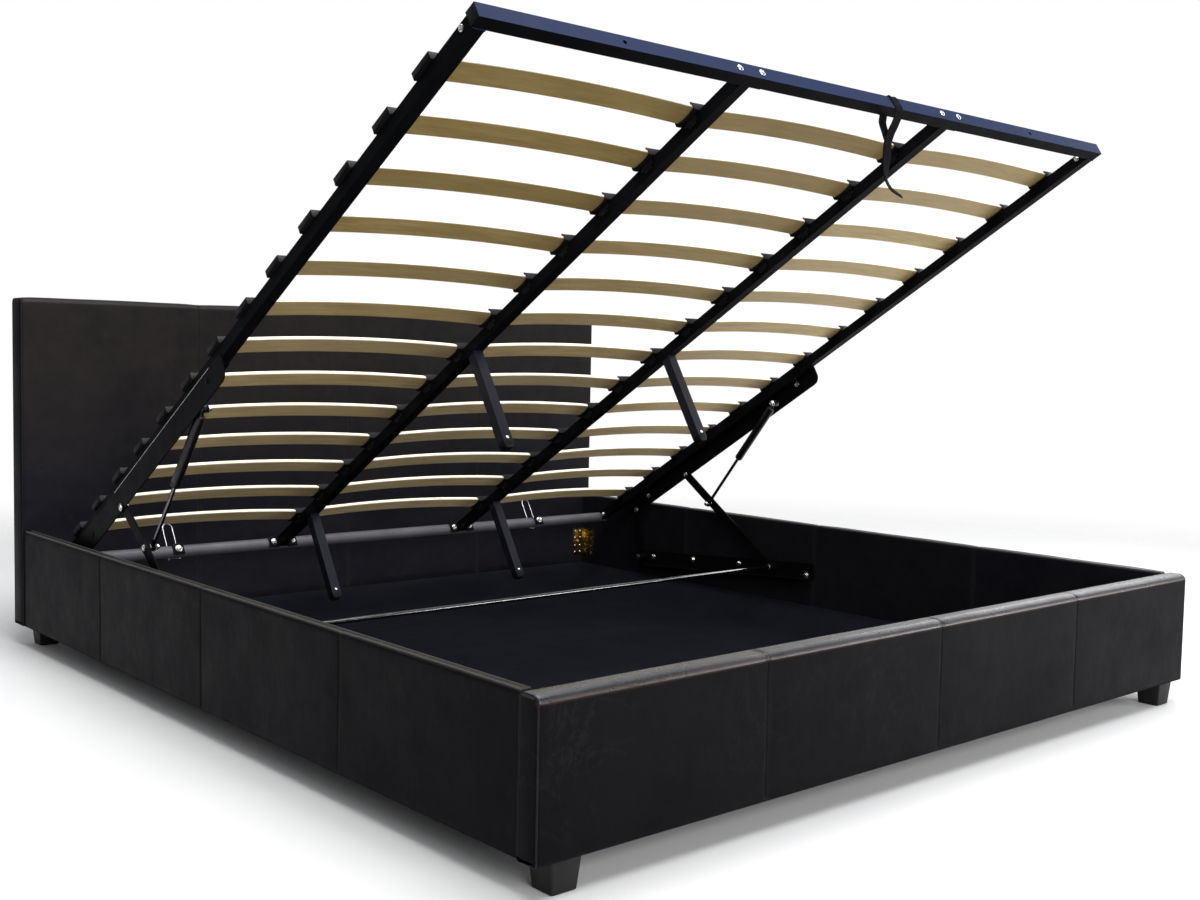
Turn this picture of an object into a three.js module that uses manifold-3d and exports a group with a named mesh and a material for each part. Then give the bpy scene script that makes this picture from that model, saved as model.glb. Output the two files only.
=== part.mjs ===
// Ottoman storage bed, super-king size, shown with its slatted lid raised.
// Millimetres, +Z up, +Y towards the headboard, +X to the right seen from the foot end.
import * as THREE from 'three';
import { mergeVertices } from 'three/addons/utils/BufferGeometryUtils.js';
import Module from 'manifold-3d';

const wasm = await Module();
wasm.setup();

// Driving dimensions.

// upholstered surround
const RAIL_OUTER_HALF = 940;
const RAIL_THICKNESS = 24;
const RAIL_BOTTOM = 51;
const RAIL_TOP = 295;
const RAIL_EDGE_RADIUS = 8;
const BOARD_OVERHANG = 4;
const FOOTBOARD_THICKNESS = 45;
const FOOTBOARD_EDGE_RADIUS = 15;
const HEADBOARD_FACE = 2094;
const HEADBOARD_THICKNESS = 67;
const HEADBOARD_TOP = 884;
const HEADBOARD_EDGE_RADIUS = 14;
const END_EDGE_RADIUS = 10;
const FIT_GAP = 0.3;

// corner feet
const FOOT_TOP_WIDTH = 56;
const FOOT_SOLE_WIDTH = 47;
const FOOT_INSET_X = 58;
const FRONT_FOOT_Y = 34;
const REAR_FOOT_SETBACK = 9;

// corner brackets
const BRACKET_THICKNESS = 2.5;
const BRACKET_RAIL_LEAF = 60;
const BRACKET_BOARD_LEAF = 42;
const BRACKET_LOW = 82;
const BRACKET_HIGH = 188;

// fabric storage lining
const LINING_THICKNESS = 3;
const LINING_FLOOR_Z = 1.5;
const LINING_HEM_LOW = 52;
const LINING_HEM_HIGH = 62;
const LINING_SHELF = 66;
const LINING_SLOPE_RUN = 170;
const LINING_SIDE_GAP = 0.6;

// tubes of the lid frame
const TUBE = 25;
const TUBE_WALL = 2;
const LID_TILT_DEG = 31.09;
const LID_EDGE_Y = 226.35;
const LID_EDGE_Z = 1260.4;
const LID_SIDE_GAP = 22;
const INNER_TUBE_X = 300;
const FOOT_TUBE_HEIGHT = 28;
const FOOT_TUBE_PROUD = 2;
const FOOT_TUBE_HOLE_X = 600;
const FOOT_TUBE_HOLE_RADIUS = 4;
const HEAD_TUBE_S = 2010;
const HEAD_TUBE_RADIUS = 16;
const HEAD_TUBE_WALL = 1.8;
const HEAD_TUBE_RECESS = 1;
const END_PLATE_HALF = 43;
const END_PLATE_THICKNESS = 3;
const END_PLATE_MARGIN = 2;

// sprung slats and their holders
const SLAT_ROWS = 13;
const FIRST_SLAT_S = 154;
const SECOND_SLAT_S = 289.7;
const SLAT_PITCH = 143.35;
const SLAT_WIDTH = 50;
const SLAT_THICKNESS = 8;
const SLAT_BOW = 11.5;
const SLAT_END_RECESS = 8;
const SLAT_INNER_END_GAP = 12;
const SLAT_STEPS = 10;
const HOLDER_LENGTH = 54;
const HOLDER_FLOOR = 4.7;
const HOLDER_COVER = 3;
const OUTER_CAP_LENGTH = 32;
const OUTER_CAP_PROUD = 5;
const INNER_CAP_HALF = 25;

// support legs under the lid
const LEG_SIZE = 25;
const LEG_WALL = 1.5;
const LEG_LENGTH = 224;
const FRONT_LEG_S = 960;
const REAR_LEG_S = 1806;
const GLIDE_HEIGHT = 16;
const GLIDE_FLARE = 3;
const GLIDE_PLUG = 14;

// lifting linkage, side view: y towards the headboard, z up
const BASE_FRONT_PIVOT = [1216.4, 160.0];
const BASE_REAR_PIVOT = [1778.1, 122.3];
const STRUT_ARM_SHARE = 0.676;

// pivots carried by the lid: distance from the foot edge, drop below the underside
const LID_FRONT_PIVOT_S = 1592.17;
const LID_FRONT_PIVOT_DROP = 39.74;
const LID_REAR_PIVOT_S = 1850.26;
const LID_REAR_PIVOT_DROP = 39.18;
const STRUT_TOP_S = 1152.78;
const STRUT_TOP_DROP = 28.17;
const PLATE_THICKNESS = 3;
const PLATE_FRONT_S = 990;
const PLATE_REAR_S = 1872;
const PLATE_DEPTH = 46;
const PLATE_LAP = 8;
const PLATE_NOSE_RADIUS = 22;
const ARM_THICKNESS = 4;
const ARM_HALF_WIDTH = 13;
const ARM_RECESS = 0.5;
const BASE_ABOVE = 17;
const BASE_BELOW = 30;
const BASE_FRONT_REACH = 150;
const BASE_REAR_REACH = 26;
const BASE_FLANGE = 20;
const BOSS_RADIUS = 10;
const BOSS_GAP = 0.7;
const PIN_RADIUS = 5;
const PIN_CLEARANCE = 0.4;
const PIN_HEAD_RADIUS = 8;
const PIN_HEAD_HEIGHT = 2.6;
const BOLT_HEAD_HEIGHT = 3.5;
const BOLT_HEAD_RADIUS = 6.5;
const CROSS_BAR_RADIUS = 6;

// gas struts
const STRUT_OFFSET = 14.5;
const STRUT_EYE_RADIUS = 9;
const STRUT_EYE_HALF = 5;
const STRUT_PIN_RADIUS = 4;
const CYLINDER_RADIUS = 11;
const CYLINDER_START = 20;
const CYLINDER_END = 219;
const CYLINDER_BORE = 5.3;
const CYLINDER_BORE_START = 84;
const ROD_RADIUS = 4.6;
const ROD_INSIDE = 22;
const ROD_NECK_RADIUS = 5.4;
const ROD_NECK_LENGTH = 24;

// mattress retainer loops
const RETAINER_X = 600;
const RETAINER_WIRE = 2;
const RETAINER_HALF_WIDTH = 13;
const RETAINER_TOP = 101;
const RETAINER_PLATE_HALF = 18;
const RETAINER_PLATE_THICKNESS = 3;
const RETAINER_STEPS = 26;

// pull strap
const STRAP_X = 100;
const STRAP_WIDTH = 25;
const STRAP_THICKNESS = 1.8;
const STRAP_CLEARANCE = 0.35;
const STRAP_JOIN_DROP = 68;
const STRAP_TAIL_DROP = 150;
const STRAP_TIP_DROP = 196;
const STRAP_TIP_SHIFT = 44;
const STRAP_TIP_WIDTH = 9;

// smoothness
const ARC_STEPS = 5;
const PIN_SIDES = 14;
const TUBE_SIDES = 24;
const WIRE_SIDES = 8;
const BORE_SIDES = 16;

// Derived sizes.

const LENGTH = HEADBOARD_FACE + HEADBOARD_THICKNESS;
const TILT = THREE.MathUtils.degToRad(LID_TILT_DEG);
const RAIL_INNER = RAIL_OUTER_HALF - RAIL_THICKNESS;
const BOARD_HALF_WIDTH = RAIL_OUTER_HALF + BOARD_OVERHANG;
const FOOT_CENTRE_X = RAIL_OUTER_HALF - FOOT_INSET_X;
const REAR_FOOT_Y = HEADBOARD_FACE + REAR_FOOT_SETBACK;
const SIDE_TUBE_OUTER = RAIL_INNER - LID_SIDE_GAP;
const SIDE_TUBE_CENTRE = SIDE_TUBE_OUTER - TUBE / 2;
const FOOT_TUBE_HALF = SIDE_TUBE_OUTER + FOOT_TUBE_PROUD;
const HEAD_TUBE_HALF = SIDE_TUBE_OUTER - HEAD_TUBE_RECESS;
const SLAT_RISE = TUBE + FIT_GAP + HOLDER_FLOOR;
const SLAT_OUTER_END_X = SIDE_TUBE_OUTER - SLAT_END_RECESS;
const OUTER_CAP_OUTER_X = SIDE_TUBE_OUTER + OUTER_CAP_PROUD;
const OUTER_CAP_INNER_X = OUTER_CAP_OUTER_X - OUTER_CAP_LENGTH;
const ARM_OUTER_X = SIDE_TUBE_OUTER - ARM_RECESS;
const ARM_INNER_X = ARM_OUTER_X - ARM_THICKNESS;
const STRUT_X = ARM_INNER_X - STRUT_OFFSET;
const WEB_INNER_X = SIDE_TUBE_OUTER + FIT_GAP;
const WEB_OUTER_X = WEB_INNER_X + PLATE_THICKNESS;
const BASE_OUTER_X = RAIL_INNER - FIT_GAP;
const BASE_INNER_X = BASE_OUTER_X - PLATE_THICKNESS;
const LID_FRONT_PIVOT = fromLid(LID_FRONT_PIVOT_S, -LID_FRONT_PIVOT_DROP);
const LID_REAR_PIVOT = fromLid(LID_REAR_PIVOT_S, -LID_REAR_PIVOT_DROP);
const STRUT_TOP = fromLid(STRUT_TOP_S, -STRUT_TOP_DROP);
const BASE_LENGTH = distance(BASE_FRONT_PIVOT, BASE_REAR_PIVOT);
const ARM_LENGTH = distance(BASE_FRONT_PIVOT, LID_FRONT_PIVOT);
const LINK_LENGTH = distance(BASE_REAR_PIVOT, LID_REAR_PIVOT);
const STRUT_FOOT = [
  BASE_FRONT_PIVOT[0] + (LID_FRONT_PIVOT[0] - BASE_FRONT_PIVOT[0]) * STRUT_ARM_SHARE,
  BASE_FRONT_PIVOT[1] + (LID_FRONT_PIVOT[1] - BASE_FRONT_PIVOT[1]) * STRUT_ARM_SHARE,
];
const STRUT_LENGTH = distance(STRUT_TOP, STRUT_FOOT);

// Materials.

function material(color, roughness, metalness) {
  return new THREE.MeshStandardMaterial({ color, roughness, metalness });
}

const leather = () => material(0x1b1a1d, 0.5, 0);
const lining = () => material(0x10131a, 0.9, 0);
const blackSteel = () => material(0x17181c, 0.45, 0.6);
const zincSteel = () => material(0xb9bcc0, 0.3, 0.9);
const chrome = () => material(0x3a3c40, 0.2, 0.9);
const wood = () => material(0x9c8b68, 0.6, 0);
const plastic = () => material(0x121214, 0.6, 0);
const brass = () => material(0xa9823c, 0.35, 0.9);
const webbing = () => material(0x131316, 0.85, 0);

// Small tools.

function distance(a, b) {
  return Math.hypot(a[0] - b[0], a[1] - b[1]);
}

function angleOf(from, to) {
  return Math.atan2(to[1] - from[1], to[0] - from[0]);
}

function node(name, geometry, mat) {
  const mesh = new THREE.Mesh(geometry, mat);
  mesh.name = name;
  return mesh;
}

function toManifold(geometry) {
  const bare = geometry.clone();
  bare.deleteAttribute('normal');
  bare.deleteAttribute('uv');
  const merged = mergeVertices(bare);
  const vertProperties = new Float32Array(merged.attributes.position.array);
  const triVerts = new Uint32Array(merged.index.array);
  return new wasm.Manifold(new wasm.Mesh({ numProp: 3, vertProperties, triVerts }));
}

function toGeometry(solid) {
  const mesh = solid.getMesh();
  const geometry = new THREE.BufferGeometry();
  geometry.setAttribute('position', new THREE.BufferAttribute(mesh.vertProperties, 3));
  geometry.setIndex(new THREE.BufferAttribute(mesh.triVerts, 1));
  return geometry;
}

function join(geometries) {
  return toGeometry(geometries.map(toManifold).reduce((a, b) => a.add(b)));
}

function cut(body, tools) {
  return toGeometry(tools.map(toManifold).reduce((a, b) => a.subtract(b), toManifold(body)));
}

// box between two corners
function block(x0, x1, y0, y1, z0, z1) {
  const geometry = new THREE.BoxGeometry(Math.abs(x1 - x0), y1 - y0, z1 - z0);
  geometry.translate((x0 + x1) / 2, (y0 + y1) / 2, (z0 + z1) / 2);
  return geometry;
}

function prism(outline, depth, holes) {
  const shape = new THREE.Shape(outline.map((p) => new THREE.Vector2(p[0], p[1])));
  for (const hole of holes) {
    shape.holes.push(new THREE.Path(hole.map((p) => new THREE.Vector2(p[0], p[1]))));
  }
  return new THREE.ExtrudeGeometry(shape, { depth, bevelEnabled: false, curveSegments: ARC_STEPS });
}

// outline in (y, z) pushed along x
function prismX(outline, x0, x1, holes = []) {
  const geometry = prism(outline, Math.abs(x1 - x0), holes);
  const turn = new THREE.Matrix4().makeBasis(
    new THREE.Vector3(0, 1, 0),
    new THREE.Vector3(0, 0, 1),
    new THREE.Vector3(1, 0, 0),
  );
  geometry.applyMatrix4(turn);
  geometry.translate(Math.min(x0, x1), 0, 0);
  return geometry;
}

// outline in (x, z) pushed along y
function prismY(outline, y0, y1, holes = []) {
  const geometry = prism(outline, y1 - y0, holes);
  geometry.rotateX(Math.PI / 2);
  geometry.translate(0, y1, 0);
  return geometry;
}

// round bar along x
function barX(radius, x0, x1, y, z, sides = PIN_SIDES) {
  const geometry = new THREE.CylinderGeometry(radius, radius, Math.abs(x1 - x0), sides);
  geometry.rotateZ(Math.PI / 2);
  geometry.translate((x0 + x1) / 2, y, z);
  return geometry;
}

// round bar along y
function barY(radius, y0, y1, x, z, sides = PIN_SIDES) {
  const geometry = new THREE.CylinderGeometry(radius, radius, y1 - y0, sides);
  geometry.translate(x, (y0 + y1) / 2, z);
  return geometry;
}

// points of an arc round a centre, angles in quarter turns
function arc(cx, cy, radius, startQuarter, endQuarter, steps = ARC_STEPS) {
  const points = [];
  for (let i = 0; i <= steps; i += 1) {
    const angle = ((startQuarter + ((endQuarter - startQuarter) * i) / steps) * Math.PI) / 2;
    points.push([cx + radius * Math.cos(angle), cy + radius * Math.sin(angle)]);
  }
  return points;
}

// rectangle with its own radius on each corner: low left, low right, top right, top left
function roundedBox(u0, u1, v0, v1, radii) {
  const [a, b, c, d] = radii;
  const corner = (u, v, r, quarter) => (r > 0 ? arc(u, v, r, quarter, quarter + 1) : [[u, v]]);
  return [
    ...corner(u0 + a, v0 + a, a, 2),
    ...corner(u1 - b, v0 + b, b, 3),
    ...corner(u1 - c, v1 - c, c, 0),
    ...corner(u0 + d, v1 - d, d, 1),
  ];
}

// flat bar with round ends between two pivots on a local line
function barOutline(length, halfWidth) {
  return [...arc(length, 0, halfWidth, -1, 1, ARC_STEPS * 2), ...arc(0, 0, halfWidth, 1, 3, ARC_STEPS * 2)];
}

// mirrored pair: side is -1 for left and 1 for right
const SIDES = [['left', -1], ['right', 1]];

// side view place of a lid point: distance from the foot edge, height above the underside
function fromLid(s, height) {
  return [
    LID_EDGE_Y + s * Math.cos(TILT) + height * Math.sin(TILT),
    LID_EDGE_Z - s * Math.sin(TILT) + height * Math.cos(TILT),
  ];
}

// Upholstered surround.

function footboard() {
  const outline = roundedBox(0, FOOTBOARD_THICKNESS, RAIL_BOTTOM, RAIL_TOP, [
    END_EDGE_RADIUS / 2, 0, END_EDGE_RADIUS, FOOTBOARD_EDGE_RADIUS]);
  const along = prismX(outline, -BOARD_HALF_WIDTH, BOARD_HALF_WIDTH);
  const plan = roundedBox(-BOARD_HALF_WIDTH, BOARD_HALF_WIDTH, 0, FOOTBOARD_THICKNESS, [
    END_EDGE_RADIUS, END_EDGE_RADIUS, 0, 0]);
  const upright = prism(plan, RAIL_TOP, []);
  const solid = toManifold(along).intersect(toManifold(upright));
  return node('footboard', toGeometry(solid), leather());
}

function headboard() {
  const back = HEADBOARD_FACE + HEADBOARD_THICKNESS;
  const r = HEADBOARD_EDGE_RADIUS;
  const face = prismY(
    roundedBox(-BOARD_HALF_WIDTH, BOARD_HALF_WIDTH, RAIL_BOTTOM, HEADBOARD_TOP, [0, 0, r, r]),
    HEADBOARD_FACE,
    back,
  );
  const profile = prismX(
    roundedBox(HEADBOARD_FACE, back, RAIL_BOTTOM, HEADBOARD_TOP, [0, 0, r, r]),
    -BOARD_HALF_WIDTH,
    BOARD_HALF_WIDTH,
  );
  const plan = roundedBox(-BOARD_HALF_WIDTH, BOARD_HALF_WIDTH, HEADBOARD_FACE, back, [r, r, r, r]);
  const upright = prism(plan, HEADBOARD_TOP, []);
  const solid = toManifold(face).intersect(toManifold(profile)).intersect(toManifold(upright));
  return node('headboard', toGeometry(solid), leather());
}

function sideRail(label, side) {
  const r = RAIL_EDGE_RADIUS;
  const outline = roundedBox(RAIL_INNER, RAIL_OUTER_HALF, RAIL_BOTTOM, RAIL_TOP, [0, r / 2, r, r]);
  const geometry = prismY(
    outline.map(([x, z]) => [x * side, z]),
    FOOTBOARD_THICKNESS + FIT_GAP,
    HEADBOARD_FACE - FIT_GAP,
  );
  return node(`side_rail_${label}`, geometry, leather());
}

function foot(name, x, y) {
  const top = FOOT_TOP_WIDTH / 2;
  const sole = FOOT_SOLE_WIDTH / 2;
  const height = RAIL_BOTTOM - FIT_GAP;
  const geometry = new THREE.CylinderGeometry(top * Math.SQRT2, sole * Math.SQRT2, height, 4);
  geometry.rotateY(Math.PI / 4);
  geometry.rotateX(Math.PI / 2);
  geometry.translate(x, y, height / 2);
  return node(name, geometry, plastic());
}

function feet() {
  return SIDES.flatMap(([label, side]) => [
    foot(`foot_front_${label}`, side * FOOT_CENTRE_X, FRONT_FOOT_Y),
    foot(`foot_rear_${label}`, side * FOOT_CENTRE_X, REAR_FOOT_Y),
  ]);
}

function cornerBracket(name, side, boardY, direction) {
  const outerX = RAIL_INNER - FIT_GAP;
  const near = boardY + direction * FIT_GAP;
  const leafY = near + direction * BRACKET_THICKNESS;
  const railY = near + direction * BRACKET_RAIL_LEAF;
  const railLeaf = block(
    side * (outerX - BRACKET_THICKNESS), side * outerX,
    Math.min(near, railY), Math.max(near, railY), BRACKET_LOW, BRACKET_HIGH);
  const boardLeaf = block(
    side * (outerX - BRACKET_BOARD_LEAF), side * outerX,
    Math.min(near, leafY), Math.max(near, leafY), BRACKET_LOW, BRACKET_HIGH);
  return node(name, join([railLeaf, boardLeaf]), brass());
}

function cornerBrackets() {
  return SIDES.flatMap(([label, side]) => [
    cornerBracket(`corner_bracket_head_${label}`, side, HEADBOARD_FACE, -1),
    cornerBracket(`corner_bracket_foot_${label}`, side, FOOTBOARD_THICKNESS, 1),
  ]);
}

// shallow fabric tray: hem on the boards, slopes down, flat on the floor
function storageLining() {
  const half = RAIL_INNER - LINING_SIDE_GAP;
  const y0 = FOOTBOARD_THICKNESS + LINING_SIDE_GAP;
  const y1 = HEADBOARD_FACE - LINING_SIDE_GAP;
  const tray = (inset, lift) => trayBody(half - inset, y0 + inset, y1 - inset, lift);
  const outer = tray(0, 0);
  const inner = tray(LINING_THICKNESS, LINING_THICKNESS);
  return node('storage_lining', cut(outer, [inner]), lining());
}

function trayBody(half, y0, y1, lift) {
  const low = LINING_FLOOR_Z + lift;
  const high = LINING_HEM_HIGH + lift;
  const hem = LINING_HEM_LOW + lift;
  const ring = (inset, z) => [
    [-half + inset, y0 + inset, z], [half - inset, y0 + inset, z],
    [half - inset, y1 - inset, z], [-half + inset, y1 - inset, z],
  ];
  const rings = [ring(LINING_SLOPE_RUN, low), ring(LINING_SHELF, hem), ring(0, hem), ring(0, high)];
  return stackedRings(rings);
}

// closed body through rings of four corners each, lowest first
function stackedRings(rings) {
  const index = [0, 2, 1, 0, 3, 2];
  for (let level = 0; level < rings.length - 1; level += 1) {
    const low = level * 4;
    const high = low + 4;
    for (let i = 0; i < 4; i += 1) {
      const next = (i + 1) % 4;
      index.push(low + i, low + next, high + next, low + i, high + next, high + i);
    }
  }
  const top = (rings.length - 1) * 4;
  index.push(top, top + 1, top + 2, top, top + 2, top + 3);
  const geometry = new THREE.BufferGeometry();
  geometry.setAttribute('position', new THREE.Float32BufferAttribute(rings.flat(2), 3));
  geometry.setIndex(index);
  geometry.computeVertexNormals();
  return geometry;
}

// Lid frame, in lid coordinates: y along the lid from the foot edge, z above the underside.

function hollowTube(x0, x1, s0, s1, height) {
  const wall = TUBE_WALL;
  const outer = block(x0, x1, s0, s1, 0, height);
  const bore = block(x0 + wall, x1 - wall, s0 - wall, s1 + wall, wall, height - wall);
  return { outer, bore };
}

function headCope() {
  const radius = HEAD_TUBE_RADIUS + FIT_GAP;
  return barX(radius, -BOARD_HALF_WIDTH, BOARD_HALF_WIDTH, HEAD_TUBE_S, TUBE / 2, TUBE_SIDES);
}

function sideTube(label, side) {
  const centre = side * SIDE_TUBE_CENTRE;
  const { outer, bore } = hollowTube(
    centre - TUBE / 2, centre + TUBE / 2, TUBE + FIT_GAP, HEAD_TUBE_S, TUBE);
  return node(`side_tube_${label}`, cut(outer, [bore, headCope()]), blackSteel());
}

function innerTube(label, side) {
  const centre = side * INNER_TUBE_X;
  const plateStart = TUBE + FIT_GAP;
  const start = plateStart + END_PLATE_THICKNESS;
  const { outer, bore } = hollowTube(
    centre - TUBE / 2, centre + TUBE / 2, plateStart, HEAD_TUBE_S, TUBE);
  const plate = block(
    centre - END_PLATE_HALF, centre + END_PLATE_HALF, plateStart, start, END_PLATE_MARGIN, TUBE);
  const tube = cut(outer, [bore, headCope()]);
  return node(`inner_tube_${label}`, join([tube, plate]), blackSteel());
}

function footTube() {
  const half = FOOT_TUBE_HALF;
  const wall = TUBE_WALL;
  const outer = block(-half, half, 0, TUBE, 0, FOOT_TUBE_HEIGHT);
  const hollow = block(-half + wall, half - wall, wall, TUBE - wall, wall, FOOT_TUBE_HEIGHT - wall);
  const holes = SIDES.map(([, side]) => barY(
    FOOT_TUBE_HOLE_RADIUS, -wall, wall * 2, side * FOOT_TUBE_HOLE_X, FOOT_TUBE_HEIGHT / 2));
  return node('foot_tube', cut(outer, [hollow, ...holes]), blackSteel());
}

function headTube() {
  const half = HEAD_TUBE_HALF;
  const tube = barX(HEAD_TUBE_RADIUS, -half, half, HEAD_TUBE_S, TUBE / 2, TUBE_SIDES);
  const bore = barX(
    HEAD_TUBE_RADIUS - HEAD_TUBE_WALL, -half * 2, half * 2, HEAD_TUBE_S, TUBE / 2, TUBE_SIDES);
  return node('head_tube', cut(tube, [bore]), blackSteel());
}

function slat(x0, x1) {
  const under = [];
  for (let i = 0; i <= SLAT_STEPS; i += 1) {
    const t = i / SLAT_STEPS;
    const bow = SLAT_BOW * 4 * t * (1 - t);
    under.push([x0 + (x1 - x0) * t, SLAT_RISE + bow]);
  }
  const over = under.map(([x, z]) => [x, z + SLAT_THICKNESS]).reverse();
  return prismY([...under, ...over], -SLAT_WIDTH / 2, SLAT_WIDTH / 2);
}

// plastic holder that sits on a tube, with the slat end in its mouth
function holder(xA, xB) {
  const x0 = Math.min(xA, xB);
  const x1 = Math.max(xA, xB);
  const low = SLAT_RISE - HOLDER_FLOOR;
  const high = SLAT_RISE + SLAT_THICKNESS + HOLDER_COVER;
  const r = HOLDER_COVER;
  return prismY(roundedBox(x0, x1, low, high, [0, 0, r, r]), -HOLDER_LENGTH / 2, HOLDER_LENGTH / 2);
}

function slatPlace(index) {
  return index === 0 ? FIRST_SLAT_S : SECOND_SLAT_S + SLAT_PITCH * (index - 1);
}

function slatRow(index) {
  const innerEnd = INNER_TUBE_X + SLAT_INNER_END_GAP;
  const innerStart = INNER_TUBE_X - SLAT_INNER_END_GAP;
  const pieces = [
    slat(-SLAT_OUTER_END_X, -innerEnd),
    slat(-innerStart, innerStart),
    slat(innerEnd, SLAT_OUTER_END_X),
  ];
  for (const [, side] of SIDES) {
    const centre = side * INNER_TUBE_X;
    pieces.push(holder(side * OUTER_CAP_INNER_X, side * OUTER_CAP_OUTER_X));
    pieces.push(holder(centre - INNER_CAP_HALF, centre + INNER_CAP_HALF));
  }
  const label = String(index + 1).padStart(2, '0');
  const mesh = node(`slat_row_${label}`, join(pieces), wood());
  mesh.position.y = slatPlace(index);
  return mesh;
}

function supportLeg(label, side, s) {
  const half = LEG_SIZE / 2;
  const outer = block(-half, half, -half, half, -LEG_LENGTH, -FIT_GAP);
  const inner = half - LEG_WALL;
  const bore = block(-inner, inner, -inner, inner, -LEG_LENGTH * 2, LEG_LENGTH);
  const leg = node(`support_leg_${label}`, cut(outer, [bore]), blackSteel());
  leg.position.set(side * INNER_TUBE_X, s, 0);
  return leg;
}

function legGlide(label, side, s) {
  const half = LEG_SIZE / 2;
  const plugHalf = half - LEG_WALL - FIT_GAP;
  const top = -LEG_LENGTH - FIT_GAP;
  const cap = new THREE.CylinderGeometry(
    half * Math.SQRT2, (half - GLIDE_FLARE) * Math.SQRT2, GLIDE_HEIGHT, 4);
  cap.rotateY(Math.PI / 4);
  cap.rotateX(Math.PI / 2);
  cap.translate(0, 0, top - GLIDE_HEIGHT / 2);
  const plug = block(-plugHalf, plugHalf, -plugHalf, plugHalf, top - GLIDE_FLARE, top + GLIDE_PLUG);
  const glide = node(`leg_glide_${label}`, join([cap, plug]), plastic());
  glide.position.set(side * INNER_TUBE_X, s, 0);
  return glide;
}

function supportLegs() {
  return SIDES.flatMap(([label, side]) => [
    supportLeg(`front_${label}`, side, FRONT_LEG_S),
    supportLeg(`rear_${label}`, side, REAR_LEG_S),
    legGlide(`front_${label}`, side, FRONT_LEG_S),
    legGlide(`rear_${label}`, side, REAR_LEG_S),
  ]);
}

// riveted pin standing inwards from a plate, with heads both sides
function rivet(side, plateInner, plateOuter, headX, y, z) {
  const pin = barX(PIN_RADIUS, side * plateOuter, side * headX, y, z);
  const innerHead = barX(PIN_HEAD_RADIUS, side * headX, side * (headX - PIN_HEAD_HEIGHT), y, z);
  const outerHead = barX(
    PIN_HEAD_RADIUS, side * plateInner, side * (plateOuter + PIN_HEAD_HEIGHT), y, z);
  return [pin, innerHead, outerHead];
}

function lidPlate(label, side) {
  const r = PLATE_NOSE_RADIUS;
  const web = prismX(
    roundedBox(PLATE_FRONT_S, PLATE_REAR_S, -PLATE_DEPTH, PLATE_LAP, [r, PLATE_LAP, 0, PLATE_LAP]),
    side * WEB_INNER_X, side * WEB_OUTER_X);
  const flangeTop = -FIT_GAP;
  const flange = block(
    side * (SIDE_TUBE_OUTER - TUBE), side * (WEB_INNER_X + PLATE_THICKNESS / 2),
    PLATE_FRONT_S + r, PLATE_REAR_S - r, flangeTop - PLATE_THICKNESS, flangeTop);
  const headX = ARM_INNER_X - FIT_GAP;
  const front = [LID_FRONT_PIVOT_S, -LID_FRONT_PIVOT_DROP];
  const rear = [LID_REAR_PIVOT_S, -LID_REAR_PIVOT_DROP];
  const strut = [STRUT_TOP_S, -STRUT_TOP_DROP];
  const eyeOuter = STRUT_X + STRUT_EYE_HALF + BOSS_GAP;
  const eyeInner = STRUT_X - STRUT_EYE_HALF - BOSS_GAP;
  const pieces = [
    web,
    flange,
    ...rivet(side, WEB_INNER_X, WEB_OUTER_X, headX, front[0], front[1]),
    ...rivet(side, WEB_INNER_X, WEB_OUTER_X, headX, rear[0], rear[1]),
    barX(PIN_HEAD_RADIUS, side * WEB_INNER_X, side * eyeOuter, strut[0], strut[1]),
    barX(STRUT_PIN_RADIUS, side * WEB_OUTER_X, side * eyeInner, strut[0], strut[1]),
    barX(BOLT_HEAD_RADIUS, side * eyeInner, side * (eyeInner - BOLT_HEAD_HEIGHT), strut[0], strut[1]),
  ];
  return node(`lid_plate_${label}`, join(pieces), blackSteel());
}

// bent wire on a small plate behind the head tube
function retainerLoop(label, side) {
  const half = RETAINER_HALF_WIDTH;
  const wire = RETAINER_WIRE;
  const back = HEAD_TUBE_S + HEAD_TUBE_RADIUS + FIT_GAP;
  const y = back + wire;
  const low = FIT_GAP;
  const shoulder = RETAINER_TOP - half;
  const path = new THREE.CurvePath();
  const v = (x, z) => new THREE.Vector3(x, y, z);
  path.add(new THREE.LineCurve3(v(-half, low), v(-half, shoulder)));
  path.add(new THREE.QuadraticBezierCurve3(v(-half, shoulder), v(-half, RETAINER_TOP), v(0, RETAINER_TOP)));
  path.add(new THREE.QuadraticBezierCurve3(v(0, RETAINER_TOP), v(half, RETAINER_TOP), v(half, shoulder)));
  path.add(new THREE.LineCurve3(v(half, shoulder), v(half, low)));
  const section = new THREE.Shape(
    arc(0, 0, wire, 0, 4 - 4 / WIRE_SIDES, WIRE_SIDES - 1).map((p) => new THREE.Vector2(p[0], p[1])));
  const loop = new THREE.ExtrudeGeometry(section, { steps: RETAINER_STEPS, extrudePath: path });
  const plate = block(
    -RETAINER_PLATE_HALF, RETAINER_PLATE_HALF, back, back + RETAINER_PLATE_THICKNESS, 0, TUBE);
  const mesh = node(`retainer_loop_${label}`, join([loop, plate]), zincSteel());
  mesh.position.x = side * RETAINER_X;
  return mesh;
}

// Lifting linkage, in bed coordinates.

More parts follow.
